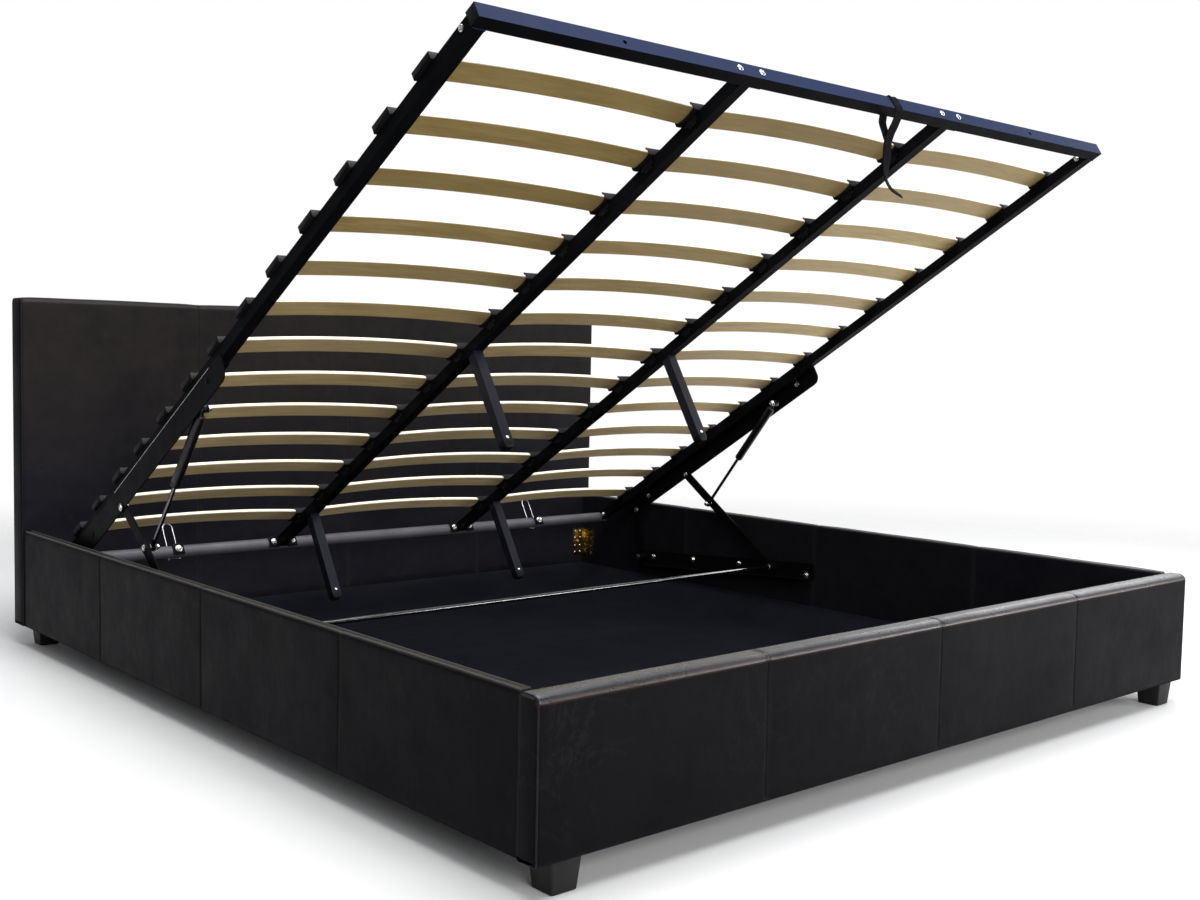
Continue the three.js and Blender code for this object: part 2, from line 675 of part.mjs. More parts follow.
function basePlate(label, side) {
  const group = new THREE.Group();
  const r = BASE_ABOVE / 2;
  const start = -BASE_FRONT_REACH;
  const end = BASE_LENGTH + BASE_REAR_REACH;
  const web = prismX(
    roundedBox(start, end, -BASE_BELOW, BASE_ABOVE, [r, 0, r, r]),
    side * BASE_INNER_X, side * BASE_OUTER_X);
  const flange = block(
    side * (BASE_INNER_X - BASE_FLANGE), side * BASE_OUTER_X,
    start + r, end - r, -BASE_BELOW, -BASE_BELOW + PLATE_THICKNESS);
  const bossEnd = ARM_OUTER_X + BOSS_GAP;
  const frontBoss = barX(BOSS_RADIUS, side * BASE_OUTER_X, side * bossEnd, 0, 0);
  const rearBoss = barX(BOSS_RADIUS, side * BASE_OUTER_X, side * bossEnd, BASE_LENGTH, 0);
  const bore = barX(
    CROSS_BAR_RADIUS + PIN_CLEARANCE, side * (ARM_INNER_X - BASE_FLANGE), side * RAIL_OUTER_HALF, 0, 0,
    BORE_SIDES);
  const solid = cut(join([web, flange, frontBoss, rearBoss]), [bore]);
  group.add(node(`base_plate_${label}`, solid, blackSteel()));
  group.position.set(0, BASE_FRONT_PIVOT[0], BASE_FRONT_PIVOT[1]);
  group.rotation.x = angleOf(BASE_FRONT_PIVOT, BASE_REAR_PIVOT);
  return group;
}

function frontArm(label, side) {
  const group = new THREE.Group();
  const bar = prismX(barOutline(ARM_LENGTH, ARM_HALF_WIDTH), side * ARM_INNER_X, side * ARM_OUTER_X);
  const strutU = ARM_LENGTH * STRUT_ARM_SHARE;
  const far = STRUT_X + STRUT_EYE_HALF + BOSS_GAP;
  const stud = barX(BOLT_HEAD_RADIUS, side * ARM_OUTER_X, side * far, strutU, 0);
  const head = barX(
    BOLT_HEAD_RADIUS, side * ARM_INNER_X, side * (ARM_OUTER_X + BOLT_HEAD_HEIGHT), strutU, 0);
  const reach = [side * (ARM_INNER_X - ARM_THICKNESS), side * (ARM_OUTER_X + ARM_THICKNESS)];
  const lowHole = barX(CROSS_BAR_RADIUS + PIN_CLEARANCE, reach[0], reach[1], 0, 0, BORE_SIDES);
  const topHole = barX(PIN_RADIUS + PIN_CLEARANCE, reach[0], reach[1], ARM_LENGTH, 0, BORE_SIDES);
  const solid = cut(join([bar, stud, head]), [lowHole, topHole]);
  group.add(node(`front_arm_${label}`, solid, blackSteel()));
  group.position.set(0, BASE_FRONT_PIVOT[0], BASE_FRONT_PIVOT[1]);
  group.rotation.x = angleOf(BASE_FRONT_PIVOT, LID_FRONT_PIVOT);
  return group;
}

function crossBar() {
  const end = BASE_OUTER_X - FIT_GAP;
  const bar = barX(CROSS_BAR_RADIUS, -end, end, BASE_FRONT_PIVOT[0], BASE_FRONT_PIVOT[1], BORE_SIDES);
  return node('cross_bar', bar, zincSteel());
}

function rearLink(label, side) {
  const group = new THREE.Group();
  const bar = prismX(barOutline(LINK_LENGTH, ARM_HALF_WIDTH), side * ARM_INNER_X, side * ARM_OUTER_X);
  const cap = barX(
    PIN_HEAD_RADIUS, side * (ARM_INNER_X - PIN_HEAD_HEIGHT), side * (ARM_INNER_X + PIN_HEAD_HEIGHT), 0, 0);
  const reach = [side * (ARM_INNER_X - ARM_THICKNESS), side * (ARM_OUTER_X + ARM_THICKNESS)];
  const topHole = barX(PIN_RADIUS + PIN_CLEARANCE, reach[0], reach[1], LINK_LENGTH, 0, BORE_SIDES);
  group.add(node(`rear_link_${label}`, cut(join([bar, cap]), [topHole]), blackSteel()));
  group.position.set(0, BASE_REAR_PIVOT[0], BASE_REAR_PIVOT[1]);
  group.rotation.x = angleOf(BASE_REAR_PIVOT, LID_REAR_PIVOT);
  return group;
}

function strutFrame(side) {
  const group = new THREE.Group();
  group.position.set(side * STRUT_X, STRUT_TOP[0], STRUT_TOP[1]);
  group.rotation.x = angleOf(STRUT_TOP, STRUT_FOOT);
  return group;
}

function strutCylinder(label, side) {
  const group = strutFrame(side);
  const eye = barX(STRUT_EYE_RADIUS, -STRUT_EYE_HALF, STRUT_EYE_HALF, 0, 0, BORE_SIDES);
  const neck = barY(STRUT_EYE_HALF, 0, CYLINDER_START + STRUT_EYE_HALF, 0, 0);
  const body = barY(CYLINDER_RADIUS, CYLINDER_START, CYLINDER_END, 0, 0, TUBE_SIDES);
  const hole = barX(
    STRUT_PIN_RADIUS + PIN_CLEARANCE, -STRUT_EYE_RADIUS, STRUT_EYE_RADIUS, 0, 0, BORE_SIDES);
  const bore = barY(CYLINDER_BORE, CYLINDER_BORE_START, CYLINDER_END + STRUT_EYE_HALF, 0, 0, BORE_SIDES);
  group.add(node(`strut_cylinder_${label}`, cut(join([eye, neck, body]), [hole, bore]), blackSteel()));
  return group;
}

function strutRod(label, side) {
  const group = strutFrame(side);
  const rod = barY(ROD_RADIUS, CYLINDER_END - ROD_INSIDE, STRUT_LENGTH, 0, 0, BORE_SIDES);
  const neck = barY(
    ROD_NECK_RADIUS, STRUT_LENGTH - ROD_NECK_LENGTH, STRUT_LENGTH - STRUT_EYE_HALF, 0, 0, BORE_SIDES);
  const eye = barX(STRUT_EYE_RADIUS, -STRUT_EYE_HALF, STRUT_EYE_HALF, STRUT_LENGTH, 0, BORE_SIDES);
  const inward = -side * STRUT_EYE_HALF;
  const cap = barX(
    BOLT_HEAD_RADIUS, 0, inward - side * BOLT_HEAD_HEIGHT, STRUT_LENGTH, 0);
  group.add(node(`strut_rod_${label}`, join([rod, neck, eye, cap]), chrome()));
  return group;
}

// Pull strap, in bed coordinates.

function offsetPolygon(points, gap) {
  return points.map((point, i) => {
    const before = points[(i + points.length - 1) % points.length];
    const after = points[(i + 1) % points.length];
    const normal = (a, b) => {
      const length = distance(a, b);
      return [(b[1] - a[1]) / length, -(b[0] - a[0]) / length];
    };
    const n0 = normal(before, point);
    const n1 = normal(point, after);
    const scale = gap / (1 + n0[0] * n1[0] + n0[1] * n1[1]);
    return [point[0] + (n0[0] + n1[0]) * scale, point[1] + (n0[1] + n1[1]) * scale];
  });
}

function pullStrap() {
  const joinPoint = [LID_EDGE_Y + TUBE / 2, LID_EDGE_Z - STRAP_JOIN_DROP];
  const ring = [
    joinPoint,
    fromLid(TUBE, 0),
    fromLid(TUBE, FOOT_TUBE_HEIGHT),
    fromLid(0, FOOT_TUBE_HEIGHT),
    fromLid(0, 0),
  ];
  const inner = offsetPolygon(ring, STRAP_CLEARANCE);
  const outer = offsetPolygon(ring, STRAP_CLEARANCE + STRAP_THICKNESS);
  const x0 = STRAP_X - STRAP_WIDTH / 2;
  const x1 = STRAP_X + STRAP_WIDTH / 2;
  const loop = prismX(outer, x0, x1, [inner.slice().reverse()]);
  const top = LID_EDGE_Z - STRAP_JOIN_DROP;
  const straight = LID_EDGE_Z - STRAP_TAIL_DROP;
  const tip = LID_EDGE_Z - STRAP_TIP_DROP;
  const halfTip = STRAP_TIP_WIDTH / 2;
  const outline = [
    [x0, top], [x0, straight], [x0 + STRAP_TIP_WIDTH, (straight + tip) / 2],
    [STRAP_X + STRAP_TIP_SHIFT - halfTip, tip],
    [STRAP_X + STRAP_TIP_SHIFT + halfTip, tip + STRAP_TIP_WIDTH],
    [x1, straight - halfTip], [x1, top],
  ];
  const tail = prismY(outline, joinPoint[0] - STRAP_THICKNESS, joinPoint[0] + STRAP_THICKNESS);
  return node('pull_strap', join([loop, tail]), webbing());
}

// Assembly.

function lid() {
  const group = new THREE.Group();
  group.add(footTube(), headTube(), ...supportLegs());
  for (const [label, side] of SIDES) {
    group.add(sideTube(label, side), innerTube(label, side), lidPlate(label, side));
    group.add(retainerLoop(label, side));
  }
  for (let i = 0; i < SLAT_ROWS; i += 1) {
    group.add(slatRow(i));
  }
  group.position.set(0, LID_EDGE_Y, LID_EDGE_Z);
  group.rotation.x = -TILT;
  return group;
}

function linkage() {
  const group = new THREE.Group();
  group.add(crossBar());
  for (const [label, side] of SIDES) {
    group.add(basePlate(label, side), frontArm(label, side), rearLink(label, side));
    group.add(strutCylinder(label, side), strutRod(label, side));
  }
  return group;
}

function bed() {
  const group = new THREE.Group();
  group.add(headboard(), footboard(), ...feet(), ...cornerBrackets(), storageLining());
  for (const [label, side] of SIDES) {
    group.add(sideRail(label, side));
  }
  group.add(lid(), linkage(), pullStrap());
  group.position.y = -LENGTH / 2;
  return group;
}

const root = new THREE.Group();
root.add(bed());

export default root;
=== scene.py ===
import math
import random

import bmesh
import bpy
from mathutils import Matrix, Vector, noise


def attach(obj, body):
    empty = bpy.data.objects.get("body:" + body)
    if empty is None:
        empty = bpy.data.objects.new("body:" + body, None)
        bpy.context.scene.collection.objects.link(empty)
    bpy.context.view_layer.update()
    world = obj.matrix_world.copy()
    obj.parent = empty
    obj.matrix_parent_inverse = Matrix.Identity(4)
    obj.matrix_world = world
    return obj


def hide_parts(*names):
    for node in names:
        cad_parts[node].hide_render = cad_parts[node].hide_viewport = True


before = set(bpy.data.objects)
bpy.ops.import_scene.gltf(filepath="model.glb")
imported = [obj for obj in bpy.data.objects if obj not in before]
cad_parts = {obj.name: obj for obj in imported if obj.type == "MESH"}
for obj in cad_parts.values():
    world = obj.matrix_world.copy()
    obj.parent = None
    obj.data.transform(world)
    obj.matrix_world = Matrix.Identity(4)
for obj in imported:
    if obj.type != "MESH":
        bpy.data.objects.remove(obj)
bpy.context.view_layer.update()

# Sizes in mm: x to the right, y from the footboard's front, z from the floor
MM = 0.001
LENGTH = 2161
Y0 = -LENGTH * MM / 2
WIDTH_HALF = 944
FOOT_BACK = 45
HEAD_FRONT = 2094
BOARD_LOW = 51
RAIL_TOP = 295
HEAD_TOP = 884
RAIL_INSIDE = 916
RAIL_OUTSIDE = 940
BOARD_SEAMS = (-472, 0, 472)
RAIL_SEAMS = (543, 1070, 1590)
SIDES = (("left", -1), ("right", 1))

# The raised lid: its tilt, the low edge of its foot tube, and its tubes
TILT = math.radians(31.09)
EDGE_Y = 226.35
EDGE_Z = 1260.4
TUBE = 25
FOOT_TUBE_HEIGHT = 28
INNER_X = 300
SIDE_X = 881.5
SIDE_INSIDE = 869
SIDE_OUTSIDE = 894
HEAD_TUBE_S = 2010
HEAD_TUBE_RADIUS = 16
TUBE_MIDDLE = 12.5
SLAT_S = [154] + [289.7 + 143.35 * i for i in range(12)]
SLAT_RISE = 30
SLAT_SPANS = ((-886, -312), (-288, 288), (312, 886))
SLAT_WIDTH = 1772
LEG_S = (("front", 960), ("rear", 1806))

# Pivots of the lift as (y, z), and the x of its struts
ARM_FOOT = (1216.4, 160.0)
LINK_FOOT = (1778.1, 122.3)
ARM_HEAD = (1569.3, 404.2)
STRUT_TOP = (1199.0, 641.0)
STRUT_SHARE = 0.676
STRUT_FOOT = tuple(a + (b - a) * STRUT_SHARE for a, b in zip(ARM_FOOT, ARM_HEAD))
STRUT_X = 875


def bed_point(x, y, z):
    """Frame point of bed millimetres."""
    return Vector((x * MM, y * MM + Y0, z * MM))


def lid(x, s, h):
    """Frame point of lid millimetres: x, distance from the foot edge, height above the underside."""
    c, n = math.cos(TILT), math.sin(TILT)
    return bed_point(x, EDGE_Y + s * c + h * n, EDGE_Z - s * n + h * c)


def lid_dir(s, h):
    """Unit vector with a share along the lid and a share out of it."""
    c, n = math.cos(TILT), math.sin(TILT)
    return Vector((0, s * c + h * n, h * c - s * n)).normalized()


# Materials
class Nodes:
    """A node tree with a short way to add and join nodes."""

    def __init__(self, tree):
        self.tree = tree
        tree.nodes.clear()

    def put(self, node, key, value):
        """Joins a socket to an input, or sets the input to a plain value."""
        target = node.inputs[key]
        if isinstance(value, bpy.types.NodeSocket):
            self.tree.links.new(value, target)
        elif target.type == "RGBA" and len(value) == 3:
            target.default_value = (*value, 1)
        else:
            target.default_value = value

    def node(self, kind, inputs=None, **props):
        node = self.tree.nodes.new(kind)
        for key, value in props.items():
            setattr(node, key, value)
        for key, value in (inputs or {}).items():
            self.put(node, key, value)
        return node


class Mat(Nodes):
    """A surface material around one Principled shader."""

    def __init__(self, name, color, rough=0.5, metal=0.0, **sockets):
        self.mat = bpy.data.materials.new(name)
        self.mat.use_nodes = True
        super().__init__(self.mat.node_tree)
        self.bsdf = self.node("ShaderNodeBsdfPrincipled", {
            "Base Color": color, "Roughness": rough, "Metallic": metal})
        for key, value in sockets.items():
            self.put(self.bsdf, key.replace("_", " "), value)
        self.out = self.node("ShaderNodeOutputMaterial", {0: self.bsdf.outputs[0]})
        self.coords = self.node("ShaderNodeTexCoord").outputs["Object"]
        self.relief = None

    def stretched(self, scale):
        return self.node("ShaderNodeMapping", {"Vector": self.coords, "Scale": scale}).outputs[0]

    def noise(self, scale, detail=3.0, rough=0.5, vector=None, distortion=0.0):
        return self.node("ShaderNodeTexNoise", {
            "Vector": vector or self.coords, "Scale": scale, "Detail": detail,
            "Roughness": rough, "Distortion": distortion}).outputs["Fac"]

    def cells(self, scale, randomness, feature):
        inputs = {"Vector": self.coords, "Scale": scale, "Randomness": randomness}
        return self.node("ShaderNodeTexVoronoi", inputs, feature=feature).outputs["Distance"]

    def range(self, value, low, high, out_low=0.0, out_high=1.0):
        return self.node("ShaderNodeMapRange", {
            "Value": value, "From Min": low, "From Max": high,
            "To Min": out_low, "To Max": out_high}).outputs["Result"]

    def spots(self, scale, detail, rough, low=0.3, high=0.7, out_low=0.0, out_high=1.0, vector=None):
        return self.range(self.noise(scale, detail, rough, vector), low, high, out_low, out_high)

    def ramp(self, factor, stops):
        node = self.node("ShaderNodeValToRGB", {"Fac": factor})
        while len(node.color_ramp.elements) < len(stops):
            node.color_ramp.elements.new(0.5)
        for element, (place, color) in zip(node.color_ramp.elements, stops):
            element.position = place
            element.color = (*color, 1)
        return node.outputs["Color"]

    def mix(self, factor, a, b, blend="MIX"):
        node = self.node("ShaderNodeMix", {0: factor, 6: a, 7: b}, data_type="RGBA", blend_type=blend)
        return node.outputs[2]

    def math(self, op, a, b=0.0):
        return self.node("ShaderNodeMath", {0: a, 1: b}, operation=op).outputs[0]

    def attribute(self, name):
        return self.node("ShaderNodeAttribute", attribute_name=name).outputs["Fac"]

    def color(self, socket):
        self.put(self.bsdf, "Base Color", socket)

    def rough(self, socket):
        self.put(self.bsdf, "Roughness", socket)

    def bump(self, height, strength, distance):
        node = self.node("ShaderNodeBump", {"Height": height, "Strength": strength, "Distance": distance})
        if self.relief is not None:
            self.put(node, "Normal", self.relief)
        self.relief = node.outputs[0]
        self.put(self.bsdf, "Normal", self.relief)


def scaled(color, factor):
    return tuple(v * factor for v in color)


def leather_material(name, lift, gloss, rough=(0.38, 0.52), creases=0.5, heights=(0.05, 0.30),
                     low=(0.72, 0.76, 0.86), top=(1.0, 0.97, 1.04)):
    """Black faux leather. Lift lightens the whole lot, gloss is its specular level, and low and top are its
    tones under and over two heights in metres: painted shade low down and painted light high up."""
    m = Mat(name, scaled((0.005, 0.005, 0.006), lift), 0.42, Specular_IOR_Level=gloss,
            Specular_Tint=(0.84, 0.87, 1.0))
    base = m.ramp(m.noise(3.5, 4, 0.6, distortion=0.4), [(0.3, scaled((0.0036, 0.0036, 0.0045), lift)),
                                                         (0.7, scaled((0.0060, 0.0057, 0.0062), lift))])
    base = m.mix(m.spots(28, 4, 0.6, 0.35, 0.7, 0.0, 0.35), base, scaled((0.0086, 0.0080, 0.0082), lift))
    ridge = m.math("ABSOLUTE", m.math("SUBTRACT", m.noise(7, 5, 0.6, distortion=1.2), 0.5))
    crease = m.math("MULTIPLY", m.range(ridge, 0.0, 0.016, 1.0, 0.0), m.spots(4, 2, 0.5, 0.42, 0.62))
    base = m.mix(m.math("MULTIPLY", crease, creases), base, scaled((0.017, 0.017, 0.016), lift))
    # Painted light and shade: the colour is multiplied by tones that change with height, darker and bluer low
    # down and lighter towards the top, as light from above falls.
    height = m.node("ShaderNodeSeparateXYZ", {"Vector": m.coords}).outputs["Z"]
    base = m.mix(1.0, base, m.mix(m.range(height, *heights), low, top), "MULTIPLY")
    fleck = m.spots(60, 3, 0.6, out_low=0.4)
    base = m.mix(m.math("MULTIPLY", m.attribute("worn"), fleck), base, (0.030, 0.026, 0.023))
    # Painted reflections on the rolled edges: a tan band low on the roll and a bright highlight on its top
    # face, both laid on by attributes.
    base = m.mix(m.math("MULTIPLY", m.attribute("warm"), 0.5), base, (0.105, 0.066, 0.044))
    base = m.mix(m.math("MULTIPLY", m.attribute("pale"), 0.5), base, (0.150, 0.140, 0.118))
    m.color(base)
    m.rough(m.spots(9, 5, 0.65, 0.3, 0.7, *rough))
    m.bump(m.noise(16, 3, 0.6), 0.35, 0.0035)
    m.bump(m.noise(70, 3, 0.6), 0.25, 0.0012)
    grain = m.math("MULTIPLY", m.cells(620.0, 1.0, "DISTANCE_TO_EDGE"), 5.0)
    m.bump(m.math("MINIMUM", grain, 0.6), 0.30, 0.0004)
    return m.mat


def powder_material(name, tint, rough, gloss, sheen=(1, 1, 1), front=None):
    """Powder coat. Front is a painted highlight: a lighter navy colour for the faces that look out of the
    lid's foot end, where the light falls on them.
    """
    m = Mat(name, tint, 0.4, Specular_IOR_Level=gloss, Specular_Tint=sheen)
    base = m.mix(m.spots(7, 4, 0.6), tint, scaled(tint, 1.7))
    base = m.mix(m.spots(180, 3, 0.7, 0.58, 0.8, 0.0, 0.25), base, (0.018, 0.019, 0.023))
    # Painted highlight: faces that look out of the foot end take the lighter front colour.
    if front:
        facing = m.node("ShaderNodeVectorMath", {
            0: m.node("ShaderNodeTexCoord").outputs["Normal"], 1: (0, -0.857, 0.516)},
            operation="DOT_PRODUCT").outputs["Value"]
        base = m.mix(m.range(facing, 0.3, 0.9), base, front)
    m.color(base)
    m.rough(m.spots(22, 4, 0.6, 0.3, 0.7, *rough))
    m.bump(m.noise(900, 2, 0.6), 0.10, 0.0003)
    m.bump(m.noise(160, 2, 0.5), 0.12, 0.0006)
    return m.mat


def lining_material():
    m = Mat("lining_fabric", (0.004, 0.005, 0.008), 0.9, Specular_IOR_Level=0.03, Sheen_Weight=0.02,
            Sheen_Roughness=0.5, Sheen_Tint=(0.35, 0.40, 0.55))
    base = m.ramp(m.noise(2.6, 4, 0.6, distortion=0.6), [(0.32, (0.0038, 0.0043, 0.0062)),
                                                         (0.68, (0.0072, 0.0081, 0.0114))])
    fibre = m.spots(420, 4, 0.7, 0.5, 0.8, 0.0, 0.5, m.stretched((1, 0.35, 1)))
    m.color(m.mix(fibre, base, (0.012, 0.014, 0.021)))
    m.rough(m.spots(14, 3, 0.6, 0.3, 0.7, 0.82, 0.96))
    m.bump(m.noise(22, 3, 0.6), 0.5, 0.004)
    m.bump(m.range(m.cells(330.0, 0.15, "F1"), 0.1, 0.5), 0.30, 0.0006)
    return m.mat


def wood_material():
    """Birch ply: board is a slat's own tone, a share by its place on the lid paints light and shade on it,
    edge and ply show the layers.
    """
    m = Mat("slat_wood", (0.45, 0.36, 0.22), 0.55, Specular_IOR_Level=0.35)
    figure = m.noise(9, 6, 0.62, vector=m.stretched((0.9, 11, 14)), distortion=0.6)
    fine = m.noise(60, 3, 0.6, vector=m.stretched((0.35, 9, 12)))
    base = m.ramp(figure, [(0.28, (0.420, 0.312, 0.138)), (0.52, (0.565, 0.432, 0.205)),
                           (0.75, (0.670, 0.540, 0.290))])
    base = m.mix(m.range(fine, 0.45, 0.75, 0.0, 0.35), base, (0.250, 0.180, 0.095))
    base = m.mix(m.math("MULTIPLY", m.attribute("board"), 0.40), base, (0.400, 0.330, 0.205))
    # Painted light and shade: the share darkens slats at one end and lightens them at the other, by their
    # place on the lid.
    tone = m.mix(m.attribute("fresh"), (0.50, 0.45, 0.31), (1.45, 1.45, 1.60))
    base = m.mix(1.0, base, tone, "MULTIPLY")
    layer = m.math("ABSOLUTE", m.math("SINE", m.math("MULTIPLY", m.attribute("ply"), 15.7)))
    # The cut edges show the ply layers in their own colours, and their near-white light layers are also a
    # painted highlight of the lit edges.
    layered = m.mix(m.range(layer, 0.0, 0.35, 1.0, 0.0), (0.95, 0.91, 0.80), (0.72, 0.62, 0.44))
    m.color(m.mix(m.attribute("edge"), base, layered))
    m.rough(m.range(figure, 0.3, 0.7, 0.46, 0.62))
    m.bump(fine, 0.12, 0.0004)
    return m.mat


def plastic_material(name, tint, rough=(0.42, 0.56)):
    m = Mat(name, tint, 0.5, Specular_IOR_Level=0.14)
    m.color(m.mix(m.spots(14, 4, 0.6), tint, scaled(tint, 1.8)))
    m.rough(m.spots(40, 4, 0.6, 0.3, 0.7, *rough))
    m.bump(m.noise(1100, 2, 0.6), 0.25, 0.0003)
    return m.mat


def metal_material(name, tint, rough, streak=(1, 1, 1), scale=120, stain=0.72):
    m = Mat(name, tint, rough[0], 1.0)
    m.color(m.mix(m.spots(scale * 0.4, 4, 0.6), tint, scaled(tint, stain)))
    m.rough(m.spots(scale, 4, 0.65, 0.3, 0.7, *rough, m.stretched(streak)))
    m.bump(m.noise(scale * 6, 2, 0.6), 0.12, 0.0002)
    return m.mat


def webbing_material():
    m = Mat("webbing", (0.004, 0.004, 0.005), 0.85, Specular_IOR_Level=0.08)
    ribs = [m.math("ABSOLUTE", m.math("SINE", m.math("MULTIPLY", m.attribute(name), 1570.0)))
            for name in ("weave_u", "weave_v")]
    weave = m.math("MULTIPLY", *ribs)
    base = m.mix(m.range(weave, 0.1, 0.8), (0.0016, 0.0016, 0.0021), (0.0060, 0.0060, 0.0074))
    m.color(m.mix(m.spots(90, 3, 0.6, 0.4, 0.7, 0.0, 0.3), base, (0.012, 0.012, 0.014)))
    m.bump(weave, 0.6, 0.0006)
    return m.mat


def thread_material():
    m = Mat("seam_thread", (0.006, 0.006, 0.007), 0.6, Specular_IOR_Level=0.15)
    m.color(m.mix(m.noise(500, 2, 0.6), (0.004, 0.004, 0.0045), (0.013, 0.0125, 0.013)))
    m.bump(m.noise(1800, 2, 0.6), 0.3, 0.0003)
    return m.mat


# Painted light on the headboard: darker and bluer low down, lighter and less blue at the top, as light from
# above falls.
HEADBOARD_PAINTED_LIGHT = ((0.36, 0.72), (0.72, 0.75, 0.92), (1.12, 1.02, 0.90))
# Bluer tone of the inner cover, part of its painted light.
INNER_PAINTED_TONE = ((0.05, 0.30), (0.9, 0.9, 1.1), (0.9, 0.9, 1.1))
LEATHER = leather_material("faux_leather", 0.95, 0.03)
ROLL_LEATHER = leather_material("faux_leather_roll", 1.0, 0.62, (0.22, 0.36), 0.2)
RAIL_LEATHER = leather_material("faux_leather_rail_top", 1.0, 0.24, (0.26, 0.40), 0.2)
# Painted light: the headboard's leather copies are lighter than the same leather elsewhere.
HEAD_LEATHER = leather_material("faux_leather_headboard", 2.45, 0.03, (0.42, 0.56), 0.12, *HEADBOARD_PAINTED_LIGHT)
HEAD_ROLL_LEATHER = leather_material("faux_leather_headboard_top", 2.3, 0.12, (0.34, 0.48), 0.12, *HEADBOARD_PAINTED_LIGHT)
# Painted light inside the box: faces off the show side take this lighter, bluer copy of the leather, standing
# in for light that barely reaches them.
INNER_COVER = leather_material("board_inner_cover", 1.7, 0.02, (0.6, 0.75), 0.0, *INNER_PAINTED_TONE)
# Black frame coat; its last colour is a navy painted highlight on the faces towards the foot end.
POWDER = powder_material("frame_powder_coat", (0.0022, 0.0023, 0.0027), (0.46, 0.58), 0.03,
                         (0.60, 0.70, 1.0), (0.0225, 0.0312, 0.0720))
# Painted light: a lighter, bluer copy of the frame's black coat for the legs, standing in for the light on
# their faces.
LEG_COAT_PAINTED_LIGHT = powder_material("leg_powder_coat", (0.0062, 0.0068, 0.0108), (0.35, 0.48), 0.27, (0.9, 0.93, 1.0))
# Painted light: a grey copy of the frame's black coat for the head tube, standing in for the light it
# reflects.
HEAD_TUBE_PAINTED_LIGHT = powder_material("head_tube_coat", (0.060, 0.057, 0.066), (0.46, 0.58), 0.36, (0.98, 0.96, 1.0))
BLACK_STEEL = powder_material("fitting_black_steel", (0.0017, 0.0017, 0.0023), (0.40, 0.54), 0.045)
STRUT_PAINT = powder_material("strut_black_paint", (0.003, 0.003, 0.0036), (0.24, 0.34), 0.3)
LINING = lining_material()
WOOD = wood_material()
HOLDER_PLASTIC = plastic_material("holder_plastic", (0.0036, 0.0036, 0.0046))
FOOT_PLASTIC = plastic_material("foot_plastic", (0.010, 0.010, 0.010), (0.48, 0.62))
ZINC = metal_material("bright_zinc", (0.90, 0.90, 0.87), (0.18, 0.32))
ROD = metal_material("dark_piston_rod", (0.16, 0.165, 0.18), (0.12, 0.2), (6, 1, 1))
BAR_STEEL = metal_material("dull_zinc_bar", (0.40, 0.40, 0.405), (0.16, 0.26), (0.4, 1, 1))
BAR_ROD = metal_material("cross_bar_zinc", (0.27, 0.27, 0.275), (0.10, 0.20), (0.4, 1, 1))
BRASS = metal_material("yellow_zinc", (0.56, 0.38, 0.15), (0.14, 0.42), scale=90, stain=0.22)
WEBBING = webbing_material()
THREAD = thread_material()


# Mesh tools
def new_object(name, verts, faces, material, body, replaced=()):
    mesh = bpy.data.meshes.new(name)
    mesh.from_pydata([tuple(v) for v in verts], [], faces)
    mesh.validate()
    mesh.update()
    obj = bpy.data.objects.new(name, mesh)
    bpy.context.scene.collection.objects.link(obj)
    mesh.materials.append(material)
    mesh.polygons.foreach_set("use_smooth", [True] * len(mesh.polygons))
    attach(obj, body)
    if replaced:
        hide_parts(*replaced)
    return obj


def attribute(obj, name, values):
    layer = obj.data.attributes.new(name, "FLOAT", "POINT")
    layer.data.foreach_set("value", values)


def turns(count):
    return [2 * math.pi * i / count for i in range(count)]


